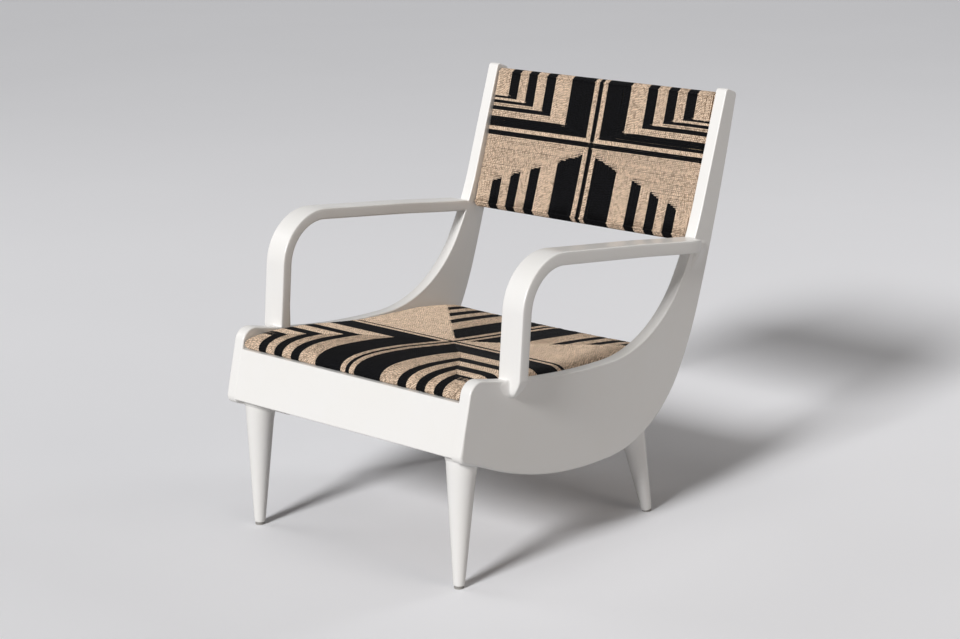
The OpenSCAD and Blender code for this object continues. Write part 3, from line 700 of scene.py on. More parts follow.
class ARMCHAIR_OT_apron(bpy.types.Operator):
    """Cuts the front apron between the side panels"""
    bl_idname = "armchair.apron"
    bl_label = "Front apron"

    def execute(self, context):
        up = 90 - FRONT_LEAN
        low_y, high_y = front_y(APRON_LOW), front_y(APRON_HIGH)
        thick = APRON_T / math.cos(math.radians(FRONT_LEAN))
        corners = [(low_y, APRON_LOW), (low_y + thick, APRON_LOW),
                   (high_y + thick, APRON_HIGH), (high_y, APRON_HIGH)]
        headings = (-180 + up, 0, up, 180, 180 + up)
        outline = []
        for corner, a, b, radius in zip(corners, headings, headings[1:], APRON_ROUND):
            outline += rounded(corner, a, b, radius, 5)
        piece = board(outline, -PANEL_IN - APRON_SEAM, PANEL_IN + context.scene.armchair_paint.rim / MM)
        smooth(piece)
        settle(piece, "apron_front", finish("painted frame"), "painted_frame", "front_apron")
        return {"FINISHED"}


ARM_T = 26.0
ARM_THIN = 3.0                # how much thinner its inner side is
ARM_OUT = 347.0
ARM_FOOT = (98.0, 386.0)      # a point of its front line, where it leaves the panel
ARM_BEND = 110.0
ARM_LEAN = 6.0
ARM_FALL = 6.9
ARM_HIGH = 223.4              # of its top line over the panel's edge, above the foot
ARM_SAG = 2.3                 # how far the long run bows down towards its rear end
SAG_Y = (440.0, 615.0)
ARM_SINK = 12.0               # how far its top draws down at its rear end
SINK_BEHIND = (-14.0, 24.0)   # measured from the post's front line
SQUARE_OVER = 40.0            # above the tongue, a section turns from level to square over this height
FOOT_BELOW = 480.0            # sections lower than this belong to the foot
ARM_ROUND = 3.6
TONGUE_ROOT = 386.2
TONGUE_TIP = 351.0
# The tongue from its root (0) to its tip (1): share of the width, and how far its two edges draw in
TONGUE_WIDTH = ((0.0, 0.2, 0.42, 0.64, 0.8, 0.92, 0.98, 1.0),
                (1.0, 0.93, 0.80, 0.62, 0.47, 0.30, 0.15, 0.03))
TONGUE_FRONT = ((0.0, 0.4, 0.7, 0.9, 1.0), (0.0, 0.5, 3.0, 9.0, 14.7))
TONGUE_REAR = ((0.0, 0.3, 0.6, 0.85, 1.0), (0.0, 1.0, 4.0, 9.0, 9.9))
# How the rear end draws in along the post's outer face: distance behind the post's front, share of the width
END_DRAW = ((-50.0, -30.0, -22.0, -16.0, -10.0, -4.0, 2.0, 8.0, 14.0, 20.0, 24.0),
            (1.0, 0.97, 0.93, 0.87, 0.77, 0.62, 0.44, 0.27, 0.125, 0.03, 0.0))
# The swelling of the post under the rear end: depth below the armrest, and how far it stands out
SWELL = ((-18.0, -12.0, -6.0, 0.0, 6.0, 12.0, 18.0, 26.0, 34.0, 42.0, 48.0),
         (-0.5, 2.0, 5.0, 7.0, 7.2, 6.0, 4.3, 2.4, 1.0, 0.2, -0.5))
# and its shape across the post: distance behind the post's front, share of how far it stands out
SWELL_ROUND = ((2.0, 4.0, 6.0, 8.5, 11.0, 16.0, 24.0, 32.0, 40.0, 44.0),
               (0.0, 0.36, 0.66, 0.90, 1.0, 0.95, 0.68, 0.34, 0.07, 0.0))
SWELL_AT = (2.0, 3.0, 4.0, 5.0, 6.0, 7.0, 8.5, 10.0, 12.0, 14.0, 17.0, 20.0, 24.0, 28.0, 32.0, 36.0, 40.0,
            44.0)
SWELL_ROOT = 315.9            # its inner side, inside the post
# Where a section's flat sides have points, as shares of the part over the panel and of the part past it:
# close together where the blend to the panel needs them
OVER_PANEL = (0.0, 0.25, 0.5, 0.68, 0.8, 0.88, 0.94, 0.98, 1.0)
PAST_PANEL = (0.012, 0.03, 0.055, 0.09, 0.13, 0.18, 0.24, 0.31, 0.39, 0.48, 0.6, 0.74, 0.88, 1.0)
BENDS = np.radians((22.5, 45, 67.5))
JOINT_COVE = 2.2              # radius of the plain blend along the armrest
SKIRT = 30.0                  # the most that the slope in front of the tongue is long
SKIRT_TOP = 393.0
SKIRT_FADE = 12.0
INNER_GAP = 0.06              # keeps the armrest's inner side off the panel's own
INNER_LEAST = 6.0             # a section that lies deep in the panel still reaches this far into it
SWELL_UNDER = (600.0, 665.0)  # the part of the armrest's underside that the swelling follows
SWELL_Y = 650.0
SWELL_TUCK = 0.1              # the swelling's edges start this far inside the post's face


def eased(at, curve):
    """A smooth curve through its points, without overshoot."""
    xs, ys = np.array(curve[0], float), np.array(curve[1], float)
    slope = np.diff(ys) / np.diff(xs)
    pair = slope[:-1] * slope[1:]
    inner = np.where(pair > 0, 2 * pair / (slope[:-1] + slope[1:] + 1e-12), 0.0)
    tangent = np.concatenate([[slope[0]], inner, [slope[-1]]])
    at = np.clip(at, xs[0], xs[-1])
    k = np.clip(np.searchsorted(xs, at, side="right") - 1, 0, len(xs) - 2)
    h = xs[k + 1] - xs[k]
    t = (at - xs[k]) / h
    return ((2 * t ** 3 - 3 * t ** 2 + 1) * ys[k] + (t ** 3 - 2 * t ** 2 + t) * h * tangent[k]
            + (3 * t ** 2 - 2 * t ** 3) * ys[k + 1] + (t ** 3 - t ** 2) * h * tangent[k + 1])


def arm_line():
    """Sections along the armrest: points on its outer and inner line, its width past the panel, its taper."""
    full = ARM_OUT - PANEL_OUT
    lean, up = math.radians(ARM_LEAN), 90 - ARM_LEAN

    def front_line(z):
        return ARM_FOOT[0] + (z - ARM_FOOT[1]) * math.tan(lean)

    out = []
    for q in np.linspace(0, 1, 32)[:-1]:
        s = math.sin((1 - q) * math.pi / 2)
        z = TONGUE_ROOT - s * (TONGUE_ROOT - TONGUE_TIP)
        front = front_line(z) + eased(s, TONGUE_FRONT)
        rear = front_line(z) + ARM_T / math.cos(lean) - eased(s, TONGUE_REAR)
        out.append(((front, z), (rear, z), full * eased(s, TONGUE_WIDTH), 0.0))
    corner = meet(ARM_FOOT, up, (ARM_FOOT[0], CHEEK[1] + ARM_HIGH), -ARM_FALL)
    turn = up + ARM_FALL
    start = along(corner, up, -ARM_BEND * math.tan(math.radians(turn / 2)))
    for z in [*np.arange(TONGUE_ROOT, TONGUE_ROOT + 8, 1.0), *np.linspace(TONGUE_ROOT + 10, start[1], 12)]:
        k = min(1.0, (z - TONGUE_ROOT) / SQUARE_OVER)
        outer = (front_line(z), z)
        flat = (outer[0] + ARM_T / math.cos(lean), z)
        square = (outer[0] + ARM_T * math.cos(lean), z - ARM_T * math.sin(lean))
        out.append((outer, tuple(np.array(flat) * (1 - k) + np.array(square) * k), full, k))
    count = 40
    for i in range(1, count + 1):
        heading = up - turn * i / count
        flipped = arc_end((0, 0), -up, ARM_BEND, turn * i / count)
        outer = (start[0] + flipped[0], start[1] - flipped[1])
        out.append((outer, along(outer, heading - 90, ARM_T), full, 1.0))
    end = out[-1][0]
    # the sections stand closer together towards the post
    for y in [*np.linspace(end[0] + 20, 600, 13), *np.arange(604, 632, 4.0), *np.arange(632, 682, 1.5)]:
        t = share(y, *SAG_Y)
        z = end[1] - (y - end[0]) * math.tan(math.radians(ARM_FALL)) - ARM_SAG * t * t * (3 - 2 * t)
        behind = y - post_front_y(z)
        sink = share(behind, *SINK_BEHIND)
        out.append(((y, z - ARM_SINK * sink ** 1.3), along((y, z), -ARM_FALL - 90, ARM_T),
                    full * float(eased(behind, END_DRAW)), 1.0))
    return out


def arm_ring(half, width, reach_in, taper):
    """One section of the armrest: its points as x and height off the middle, and how each one leans."""
    r = min(ARM_ROUND, half * 0.85, (width + reach_in) * 0.45)
    r_out = min(r, width * 0.8 + 0.01)
    x_in, x_out = PANEL_OUT - reach_in, PANEL_OUT + width
    xs = [x_in + r + f * (reach_in - r) for f in OVER_PANEL]
    xs += [PANEL_OUT + f * max(width - r_out, 0.01) for f in PAST_PANEL]

    def low(x):
        return half - ARM_THIN * taper * (ARM_OUT - x) / (ARM_OUT - PANEL_IN)

    def bend(x, out, radius, height, up, angles):
        """The rounded edge at x, on the outer or inner side (out) and above or below (up)."""
        return [(x - out * radius + out * radius * math.sin(q), up * (height - radius + radius * math.cos(q)),
                 up * math.cos(q)) for q in angles]

    ring = [(x, half, 1.0) for x in xs] + bend(x_out, 1, r_out, half, 1, BENDS)
    ring += [(x_out, f * (half - r_out), 0.0) for f in (0.6, 0.0, -0.6)]
    ring += bend(x_out, 1, r_out, low(x_out), -1, BENDS[::-1])
    ring += [(x, -low(x), -1.0) for x in reversed(xs)] + bend(x_in, -1, r, low(x_in), -1, BENDS)
    ring += [(x_in, f * (half - r), 0.0) for f in (-0.6, 0.0, 0.6)]
    return np.array(ring + bend(x_in, -1, r, half, 1, BENDS[::-1]))


def armrest_rings(cove):
    """The armrest's sections as arrays of points, swollen where they blend into the panel."""
    outline = panel_outline()
    inner_reach = PANEL_OUT - PANEL_IN
    rings = []
    for outer, inner, width, taper in arm_line():
        normal = np.subtract(outer, inner) / math.dist(outer, inner)
        centre = np.add(outer, inner) / 2
        half = math.dist(outer, inner) / 2
        deep = -outline_distance(centre[None], outline)[0]
        buried = 3.5 + half * 0.35
        reach_in = inner_reach
        if deep > buried:
            reach_in = max(INNER_LEAST, inner_reach - (deep - buried) * 6)
        elif deep > -2:
            reach_in = inner_reach - INNER_GAP
        ring = arm_ring(half, width, reach_in, taper)
        points = np.column_stack([ring[:, 0], centre + ring[:, 1:2] * normal])
        rings.append((points, ring[:, 2], normal, width, outer[1] < FOOT_BELOW))
    flat = np.concatenate([r[0] for r in rings])
    beside = outline_distance(flat[:, 1:], outline)
    off = np.maximum(flat[:, 0] - PANEL_OUT, 0.0)
    away = np.where(beside < 0, off, np.hypot(off, beside))
    start = 0
    for points, lean, normal, width, foot in rings:
        d = away[start:start + len(points)]
        start += len(points)
        past = np.clip((points[:, 0] - PANEL_OUT + 4) / 6.0, 0, 1)
        past = past * past * (3 - 2 * past)
        reach = JOINT_COVE + (min(cove, 0.4 * width + 1.5) - JOINT_COVE) * past if foot \
            else np.full(len(d), JOINT_COVE)
        gap = np.clip(d / reach, 0, 1)
        swell = reach * (1 - np.sqrt(1 - (1 - gap) ** 2))
        if foot:
            # in front of the tongue the panel's face rises towards it in a long shallow slope
            skirt = past * np.clip((SKIRT_TOP - points[:, 2]) / SKIRT_FADE, 0, 1)
            long = JOINT_COVE + (min(SKIRT, 1.1 * width + 2.0) - JOINT_COVE) * skirt
            slope = long * np.clip(1 - d / (JOINT_COVE + 2.8 * skirt), 0, 1) ** (2 + skirt)
            swell = np.where(lean > 0, slope, swell)
        points[:, 1:] += (np.sign(lean) * np.abs(lean) ** 0.6 * swell)[:, None] * normal
    return [r[0] for r in rings]


def swelling_rings():
    """Level sections of the soft swelling that carries the rear end out of the post."""
    under = [inner for outer, inner, *_ in arm_line() if SWELL_UNDER[0] < outer[0] < SWELL_UNDER[1]]
    line = np.polyfit([p[0] for p in under], [p[1] for p in under], 1)
    rings = []
    for depth in np.arange(SWELL[0][0], SWELL[0][-1] + 0.1, 2.0):
        z = np.polyval(line, SWELL_Y) - depth
        stands = float(eased(depth, SWELL))
        xs = PANEL_OUT - SWELL_TUCK + (stands + SWELL_TUCK) * eased(np.array(SWELL_AT), SWELL_ROUND)
        ring = [(SWELL_ROOT, SWELL_AT[0]), *zip(xs, SWELL_AT), (SWELL_ROOT, SWELL_AT[-1])]
        rings.append(np.array([(x, post_front_y(z) + y, z) for x, y in ring]))
    return rings


def lofted(name, shells):
    """One mesh object from runs of equal rings, each run closed at both ends."""
    verts, faces = [], []
    for rings in shells:
        base, count = sum(len(v) for v in verts), len(rings[0])
        verts += list(rings)
        for i in range(len(rings) - 1):
            low, high = base + i * count, base + (i + 1) * count
            for j in range(count):
                k = (j + 1) % count
                faces.append((low + j, low + k, high + k, high + j))
        last = base + (len(rings) - 1) * count
        faces += [tuple(range(base, base + count)), tuple(range(last, last + count))]
    mesh = bpy.data.meshes.new(name)
    mesh.from_pydata(placed(np.concatenate(verts)).tolist(), [], faces)
    return edited(new_piece(name, mesh), lambda: merged(0.000002), outward)


class ARMCHAIR_OT_armrests(bpy.types.Operator):
    """Sweeps the bent armrests and blends them into the side panels"""
    bl_idname = "armchair.armrests"
    bl_label = "Armrests"

    def execute(self, context):
        cove = context.scene.armchair_paint.cove / MM
        right = lofted("armrest", [armrest_rings(cove), swelling_rings()])
        both_sides(right, "armrest_bent", "armrest", 50)
        return {"FINISHED"}


FOOT_X = 275.5
REAR_FOOT_Y = 554.0
LEG_FOOT = 21.0
LEG_TAPER = 0.155
LEG_LEAN = 3.6
LEG_SPLAY = 14.2
LEG_COVE = 1.5
LEG_EDGE = (1.4, 0.5)         # how far the foot's two lowest rings draw in
APRON_REAR = -10.5            # the front legs meet the apron's underside ahead of this
# Where each leg meets the frame above, and how far past that it is drawn
LEG_TOPS = {"front": (262.0, 10.0), "rear": (206.0, 22.0)}
GLIDE_H = 6.0
# The glide's outline, as radius and height
GLIDE = [(8.3, -3.4), (9.2, -2.0), (9.5, 1.3), (9.5, 2.6), (8.9, 2.9), (8.9, 3.3), (9.5, 3.6), (9.6, 5.2),
         (9.2, 5.9), (7.0, 6.1)]


def leg_turn(end):
    """Turns and moves a piece from the z axis to a leg's own axis."""
    angle = -LEG_LEAN if end == "front" else LEG_SPLAY
    foot = place(FOOT_X, 0.0 if end == "front" else REAR_FOOT_Y, 0.0)
    return Matrix.Translation(foot) @ Matrix.Rotation(math.radians(angle), 4, "X")


class ARMCHAIR_OT_legs(bpy.types.Operator):
    """Turns the four tapered legs and blends their tops into the frame above"""
    bl_idname = "armchair.legs"
    bl_label = "Legs"

    def execute(self, context):
        for end, (top, past) in LEG_TOPS.items():
            heights = [GLIDE_H - 0.7, GLIDE_H, GLIDE_H + 1.2, *np.linspace(14, top - 26, 12),
                       *np.arange(top - 24, top + past, 1.25)]
            radii = [LEG_FOOT / 2 + LEG_TAPER * h / 2 for h in heights]
            radii[0] -= LEG_EDGE[0]
            radii[1] -= LEG_EDGE[1]
            right = turned(radii, heights)
            axis = leg_turn(end)
            right.data.transform(axis)
            for vert in right.data.vertices:
                y, z = vert.co.y / MM + FOOT_Y, vert.co.z / MM
                roof = under_z(y)
                if end == "front" and y < APRON_REAR:
                    roof = min(roof, APRON_LOW)
                slope = (under_z(y + 1) - under_z(y - 1)) / 2
                gap = max((roof - z) / math.hypot(1, slope), 0.0)
                if gap < LEG_COVE:
                    swell = LEG_COVE - math.sqrt(LEG_COVE ** 2 - (LEG_COVE - gap) ** 2)
                    own = axis.inverted() @ vert.co
                    out = Vector((own.x, own.y, 0)).normalized()
                    vert.co += (axis.to_3x3() @ out) * swell * MM
            both_sides(right, f"leg_turned_{end}", f"leg_{end}", 50)
        return {"FINISHED"}


class ARMCHAIR_OT_glides(bpy.types.Operator):
    """Turns the four glides under the feet"""
    bl_idname = "armchair.glides"
    bl_label = "Glides"

    def execute(self, context):
        parts = []
        for end in LEG_TOPS:
            piece = turned([r for r, _ in GLIDE], [h for _, h in GLIDE], 48)
            piece.data.transform(leg_turn(end))
            for vert in piece.data.vertices:
                vert.co.z = max(vert.co.z, 0.0)
            edited(piece, lambda: merged(0.00002), outward)
            parts += [piece, mirrored(piece)]
        only(parts[0])
        for piece in parts:
            piece.select_set(True)
        bpy.ops.object.join()
        smooth(parts[0], 40)
        settle(parts[0], "glides_turned", finish("grey glide"), "glide_nylon", "leg_glides")
        return {"FINISHED"}


# ---------------------------------------------------------------- cord weave

def run_length(points):
    """Distance along a line to each of its points."""
    return np.concatenate([[0.0], np.cumsum(np.linalg.norm(np.diff(points, axis=0), axis=1))])


def unit_rows(rows):
    return rows / np.linalg.norm(rows, axis=1)[:, None]


class CordBundle:
    """Collects round cords, each a run of rings, and makes one mesh of them."""

    def __init__(self, sides):
        self.sides = sides
        self.verts, self.quads, self.caps = [], [], []
        self.quad_uv, self.cap_uv, self.tones = [], [], []
        self.count = 0

    def add(self, path, across, radii, tone):
        """Adds a cord along path; across is square to the plane that it bends in."""
        s, n = self.sides, len(path)
        out = unit_rows(np.cross(unit_rows(np.gradient(path, axis=0)), across))
        angle = np.arange(s) / s * 2 * math.pi
        ring = (np.cos(angle)[None, :, None] * out[:, None, :]
                + np.sin(angle)[None, :, None] * np.asarray(across)[None, None, :])
        self.verts.append((path[:, None, :] + radii[:, None, None] * ring).reshape(-1, 3))
        i, j = np.arange(n - 1)[:, None] * s, np.arange(s)[None, :]
        k = (j + 1) % s
        quads = np.stack([i + j, i + s + j, i + s + k, i + k], -1) + self.count
        self.quads.append(quads.reshape(-1, 4))
        length = run_length(path) * MM
        u0, u1, v0 = (np.broadcast_to(row, (n - 1, s))
                      for row in (length[:-1, None], length[1:, None], j / s))
        v1 = v0 + 1.0 / s
        self.quad_uv.append(np.stack([u0, v0, u1, v0, u1, v1, u0, v1], -1).reshape(-1, 2))
        self.caps += [j[0] + self.count, j[0][::-1] + self.count + (n - 1) * s]
        self.cap_uv += [np.full((s, 2), (0.0, 0.5)), np.full((s, 2), (length[-1], 0.5))]
        self.tones.append(np.full(n * s, tone))
        self.count += n * s

    def build(self, name):
        """Makes the mesh object."""
        verts = placed(np.concatenate(self.verts))
        quads, caps = np.concatenate(self.quads), np.array(self.caps)
        corners = np.concatenate([quads.ravel(), caps.ravel()])
        starts = np.concatenate([np.arange(len(quads)) * 4,
                                 len(quads) * 4 + np.arange(len(caps)) * self.sides])
        mesh = bpy.data.meshes.new(name)
        for part, size, key, values in ((mesh.vertices, len(verts), "co", verts.astype(np.float32)),
                                        (mesh.loops, len(corners), "vertex_index", corners.astype(np.int32)),
                                        (mesh.polygons, len(starts), "loop_start", starts.astype(np.int32))):
            part.add(size)
            part.foreach_set(key, values.ravel())
        mesh.update(calc_edges=True)
        mesh.validate()
        uv = np.concatenate(self.quad_uv + self.cap_uv).astype(np.float32)
        mesh.uv_layers.new(name="cord").data.foreach_set("uv", uv.ravel())
        tones = np.concatenate(self.tones).astype(np.float32)
        mesh.attributes.new("cord_tone", "FLOAT", "POINT").data.foreach_set("value", tones)
        mesh.shade_smooth()
        return new_piece(name, mesh)


def catmull(points, step):
    """A smooth line through the points, with about one point each step."""
    p = np.array(points, float)
    p = np.vstack([2 * p[0] - p[1], p, 2 * p[-1] - p[-2]])
    out = []
    for i in range(1, len(p) - 2):
        a, b, c, d = p[i - 1:i + 3]
        count = max(2, int(np.linalg.norm(c - b) / step))
        for k in range(count):
            t = k / count
            out.append(0.5 * ((2 * b) + (c - a) * t + (2 * a - 5 * b + 4 * c - d) * t * t
                              + (3 * b - a - 3 * c + d) * t ** 3))
    out.append(p[-2])
    return np.array(out)


def spaced(line, reach=34.0, bend=19.0):
    """Picks points of a line: one for each bend degrees that it turns, and at most reach apart."""
    d = np.diff(line, axis=0)
    heading = np.unwrap(np.arctan2(d[:, 1], d[:, 0]))
    turn = np.degrees(np.abs(np.diff(heading, prepend=heading[0])))
    weight = np.concatenate([[0.0], np.cumsum(np.linalg.norm(d, axis=1) / reach + turn / bend)])
    count = max(3, int(math.ceil(weight[-1])) + 1)
    at = np.interp(np.linspace(0, weight[-1], count), weight, np.arange(len(line)))
    return np.stack([np.interp(at, np.arange(len(line)), column) for column in line.T], 1)


def loop_line(points, face_end, rear_start, radius):
    """A line (v, n, face) round a rail from its outer points, moved in by the cord's radius."""
    dense = catmull(points, 0.8)
    tangent = unit_rows(np.gradient(dense, axis=0))
    side = 1.0 if dense[-1, 1] < dense[0, 1] else -1.0
    forward = 1.0 if dense[len(dense) // 3, 0] > dense[0, 0] else -1.0
    inward = np.stack([tangent[:, 1], -tangent[:, 0]], 1) * forward * side
    length = run_length(dense)
    near = [length[np.argmin(np.linalg.norm(dense - np.array(p), axis=1))] for p in (face_end, rear_start)]
    face = np.clip((near[1] - length) / (near[1] - near[0]), 0, 1)
    return np.column_stack([dense + inward * radius, face])


MITRE_EASE = 14.0             # a cord comes to its level this far from its mitre
UNEVEN = {"shift": 0.16, "wave": 0.16, "level": 0.2, "thickness": 0.02}
SLIM_RISE = 1.0               # a cord that rises more than this at its mitre is drawn out thin there
SLIM = 0.74
HALF = 291.3                  # of a woven panel's width


class WovenPanel:
    """An envelope weave over a flat frame.

    u runs across the chair, v up the pattern from its middle line, and n out of the face.
    """

    def __init__(self, up_line, down_line, to_space, side_roll, rear_roll, crown, radius, tones):
        self.lines = {1: up_line, -1: down_line}      # (v, n, face) round the rail, from v = 0
        self.to_space = to_space
        self.side_roll = side_roll                    # width and depth of the rounded side, and of
        self.rear_roll = rear_roll                    # the same at the rear
        self.crown = crown
        self.radius = radius
        self.tones = tones
        self.rng = np.random.default_rng(7)

    def drop(self, u, roll):
        """How far the rounded side falls away at u."""
        a, b = roll
        t = np.clip((np.abs(u) - (HALF - a)) / a, 0, 1)
        return b * (1 - np.sqrt(np.maximum(0.0, 1 - t * t)))

    def height(self, v, face):
        """Height of the middle of the cords on the face (or the rear) at v."""
        line = self.lines[1 if v >= 0 else -1]
        peak = int(np.argmax(np.abs(line[:, 0])))
        rows = line[:peak + 1] if face else line[peak:]
        reach = np.abs(rows[:, 0])
        order = np.argsort(reach)
        return np.interp(abs(v), reach[order], rows[order, 1])

    def levels(self, v):
        """Heights of the face and the rear at v, and the side's two rolls, shallower on a thin edge."""
        top, low = float(self.height(v, True)), float(self.height(v, False))
        (a, b), (c, d) = self.side_roll, self.rear_roll
        return top, low, (a, min(b, (top - low) * 0.6)), (c, min(d, (top - low) * 0.3))

    def lengthwise(self, bundle, u, v_from, sign, over, dip=2.6, pull=0.0):
        """A cord along v that wraps the upper (sign 1) or the lower rail, from the mitre at v_from.

        pull is how far its end leans over to its neighbour's at the mitre.
        """
        line = self.lines[sign]
        wraps = (line[:, 2] < 0.999) & (line[:, 2] > 0.001)
        run = line[(line[:, 0] * sign >= v_from - 1e-6) | wraps]
        if len(run) < 4:
            return
        run = spaced(run)
        v, n, w = run.T
        near = np.clip(1 - (v * sign - v_from) / MITRE_EASE, 0, 1)
        n = n + w * (self.crown(u, v) - self.drop(u, self.side_roll))
        n += (1 - w) * self.drop(u, self.rear_roll)
        pts = self.ends(np.stack([u + pull * near, v, n], 1), 1, sign, over, dip)
        self.cord(bundle, pts, (1.0, 0.0, 0.0))

    def crosswise(self, bundle, v, u_from, sign, over, dip=2.6, lift=0.0, rise=0.0):
        """A cord along u that wraps the right (sign 1) or the left stile, from the mitre at u_from.

        lift raises it off the face, and rise does so at its mitre.
        """
        top, low, (a, b), (c, d) = self.levels(v)
        flat = np.arange(u_from, HALF - a, 2.0) if u_from < HALF - a else []
        curve = [HALF - a + a * math.sin(q) for q in np.linspace(0, math.pi / 2, 14)]
        us = np.array([*flat, *(u for u in curve if u > u_from)] or [HALF - 0.2])
        t = np.clip((us - (HALF - a)) / a, 0, 1)
        ns = top + self.crown(us, np.full(len(us), v)) - b * (1 - np.sqrt(np.maximum(0.0, 1 - t ** 2)))
        near = np.clip((us - u_from) / MITRE_EASE, 0, 1)
        ns += lift * near + rise * (1 - near)
        lower = [(HALF - c + c * math.cos(q), low + d - d * math.sin(q))
                 for q in np.linspace(0, math.pi / 2, 8)]
        back = np.arange(HALF - c, u_from, -4.0)[1:] if u_from < HALF - c else np.array([])
        line = spaced(np.concatenate([np.stack([us, ns], 1), np.array(lower),
                                      np.stack([back, np.full(len(back), low)], 1)]))
        pts = np.stack([line[:, 0] * sign, np.full(len(line), v), line[:, 1]], 1)
        slim = SLIM if rise > SLIM_RISE else 1.0
        self.cord(bundle, self.ends(pts, 0, sign, over, dip), (0.0, 1.0, 0.0), slim)

    def ends(self, pts, axis, sign, over, dip):
        """Draws both ends in under the cords that cross them."""
        room = abs(pts[0, 2] - pts[-1, 2]) / 2 - 2.2
        dip = min(dip, max(room, 0.3))

        def drawn(end, reach, depth):
            point = end.copy()
            point[axis] -= sign * (reach + over)
            point[2] += depth
            return point

        first, last = pts[0], pts[-1]
        return np.vstack([drawn(first, 2.6, -dip), drawn(first, 0.6, -dip * 0.35), pts,
                          drawn(last, 0.6, dip * 0.35), drawn(last, 2.6, dip)])

    def cord(self, bundle, pts, across, slim=1.0):
        """Adds one cord, a little uneven; slim is the share of its thickness left at its first end."""
        across = np.asarray(across)
        pts = pts + across * self.rng.normal(0, UNEVEN["shift"])
        wave = self.rng.uniform(0, 6.3)
        pts = pts + across[None] * (UNEVEN["wave"] * np.sin(run_length(pts) / 17.0 + wave))[:, None]
        pts[:, 2] += self.rng.normal(0, UNEVEN["level"])
        radii = np.full(len(pts), self.radius * (1 + self.rng.normal(0, UNEVEN["thickness"])))
        radii[:3] *= slim
        radii[[0, -1]] *= 0.55
        origin, tip = self.to_space(np.vstack([[0, 0, 0], across]))
        side = tip - origin
        bundle.add(self.to_space(pts), side / np.linalg.norm(side), radii, self.rng.uniform(*self.tones))


COLOURS = ["black", "natural"] * 5


def nested_half(panel, bundles, sign, side, x_edges, x_counts, half):
    """A quarter of the weave whose bands turn the corner, from the middle out."""
    for b in range(1, len(x_edges)):
        (x0, x1), (v0, v1) = x_edges[b - 1:b + 1], half["edges"][b - 1:b + 1]
        nx, nv = x_counts[b], half["counts"][b]
        bundle = bundles[COLOURS[b]]
        for i in range(nx):
            step = int((i + 0.5) / nx * nv) / nv
            panel.lengthwise(bundle, side * (x0 + (i + 0.5) / nx * (x1 - x0)), v0 + step * (v1 - v0), sign,
                             half["over"], half["dip"])
        for j in range(nv):
            panel.crosswise(bundle, sign * (v0 + (j + 0.5) / nv * (v1 - v0)), x0 + j / nv * (x1 - x0), side,
                            half["reach"] * panel.rng.uniform(0.4, 1.0), half["dip"], 0.2)


def open_half(panel, bundles, sign, side, x_edges, x_counts, half):
    """A quarter of the weave whose lengthwise bands end on the natural cords of the side."""
    first, slope, lead, lead_x = half["start"], half["slope"], half["edges"][0], half["lead_x"]
    for b in range(1, len(x_edges)):
        x0, x1 = x_edges[b - 1:b + 1]
        nx, group = x_counts[b], half["group"]
        for i in range(nx):
            x = x0 + (i + 0.5) / nx * (x1 - x0)
            mitre = first + slope * (x0 + i // group * group / nx * (x1 - x0))
            if x < lead_x:
                mitre = lead + (x - x_edges[0]) / (lead_x - x_edges[0]) * (first - lead)
            panel.lengthwise(bundles[COLOURS[b]], side * x, mitre, sign, half["over"], half["dip"],
                             side * half["pull"] * (1 if i % 2 == 0 else -1))
    v = lead + half["pitch"] / 2
    while v < half["last"]:
        x = max(0.0, (v - first) / slope)
        if v < first + slope * lead_x:
            if first > lead:
                x = x_edges[0] + (v - lead) / (first - lead) * (lead_x - x_edges[0])
            x = min(x, lead_x)
        tooth = half["tooth"] * panel.rng.uniform(0.1, 1.0)
        panel.crosswise(bundles["natural"], sign * v, max(x - tooth, x_edges[0] + 1), side,
                        half["reach"] * panel.rng.uniform(0.3, 1.0), half["dip"], 0.25, half["rise"])
        v += half["pitch"]


CROSS_OVER = 4.0              # the middle cross's cords run on this far under each other


def weave(panel, bundles, x_edges, x_counts, up, down):
    """Winds the whole panel. up and down are the patterns of the two halves."""
    # black cross through the middle, both ways
    for k in (-1, 0, 1):
        for sign in (1, -1):
            panel.lengthwise(bundles["black"], k * x_edges[0] / 1.5, 0.0, sign, CROSS_OVER)
            panel.crosswise(bundles["black"], k * up["edges"][0] / 1.5, 0.0, sign, CROSS_OVER, lift=0.15)
    for sign, wind, half in ((1, nested_half, up), (-1, open_half, down)):
        for side in (1, -1):
            wind(panel, bundles, sign, side, x_edges, x_counts, half)


BAR_INSET = 2.3               # how far a bar lies inside the middle of the cords
BAR_HALF = 289.0
STILE_IN = 251.0
BAR_GAP = 0.5
BAR_LEAST = 0.6               # the thickness that a bar keeps at its rounded rim


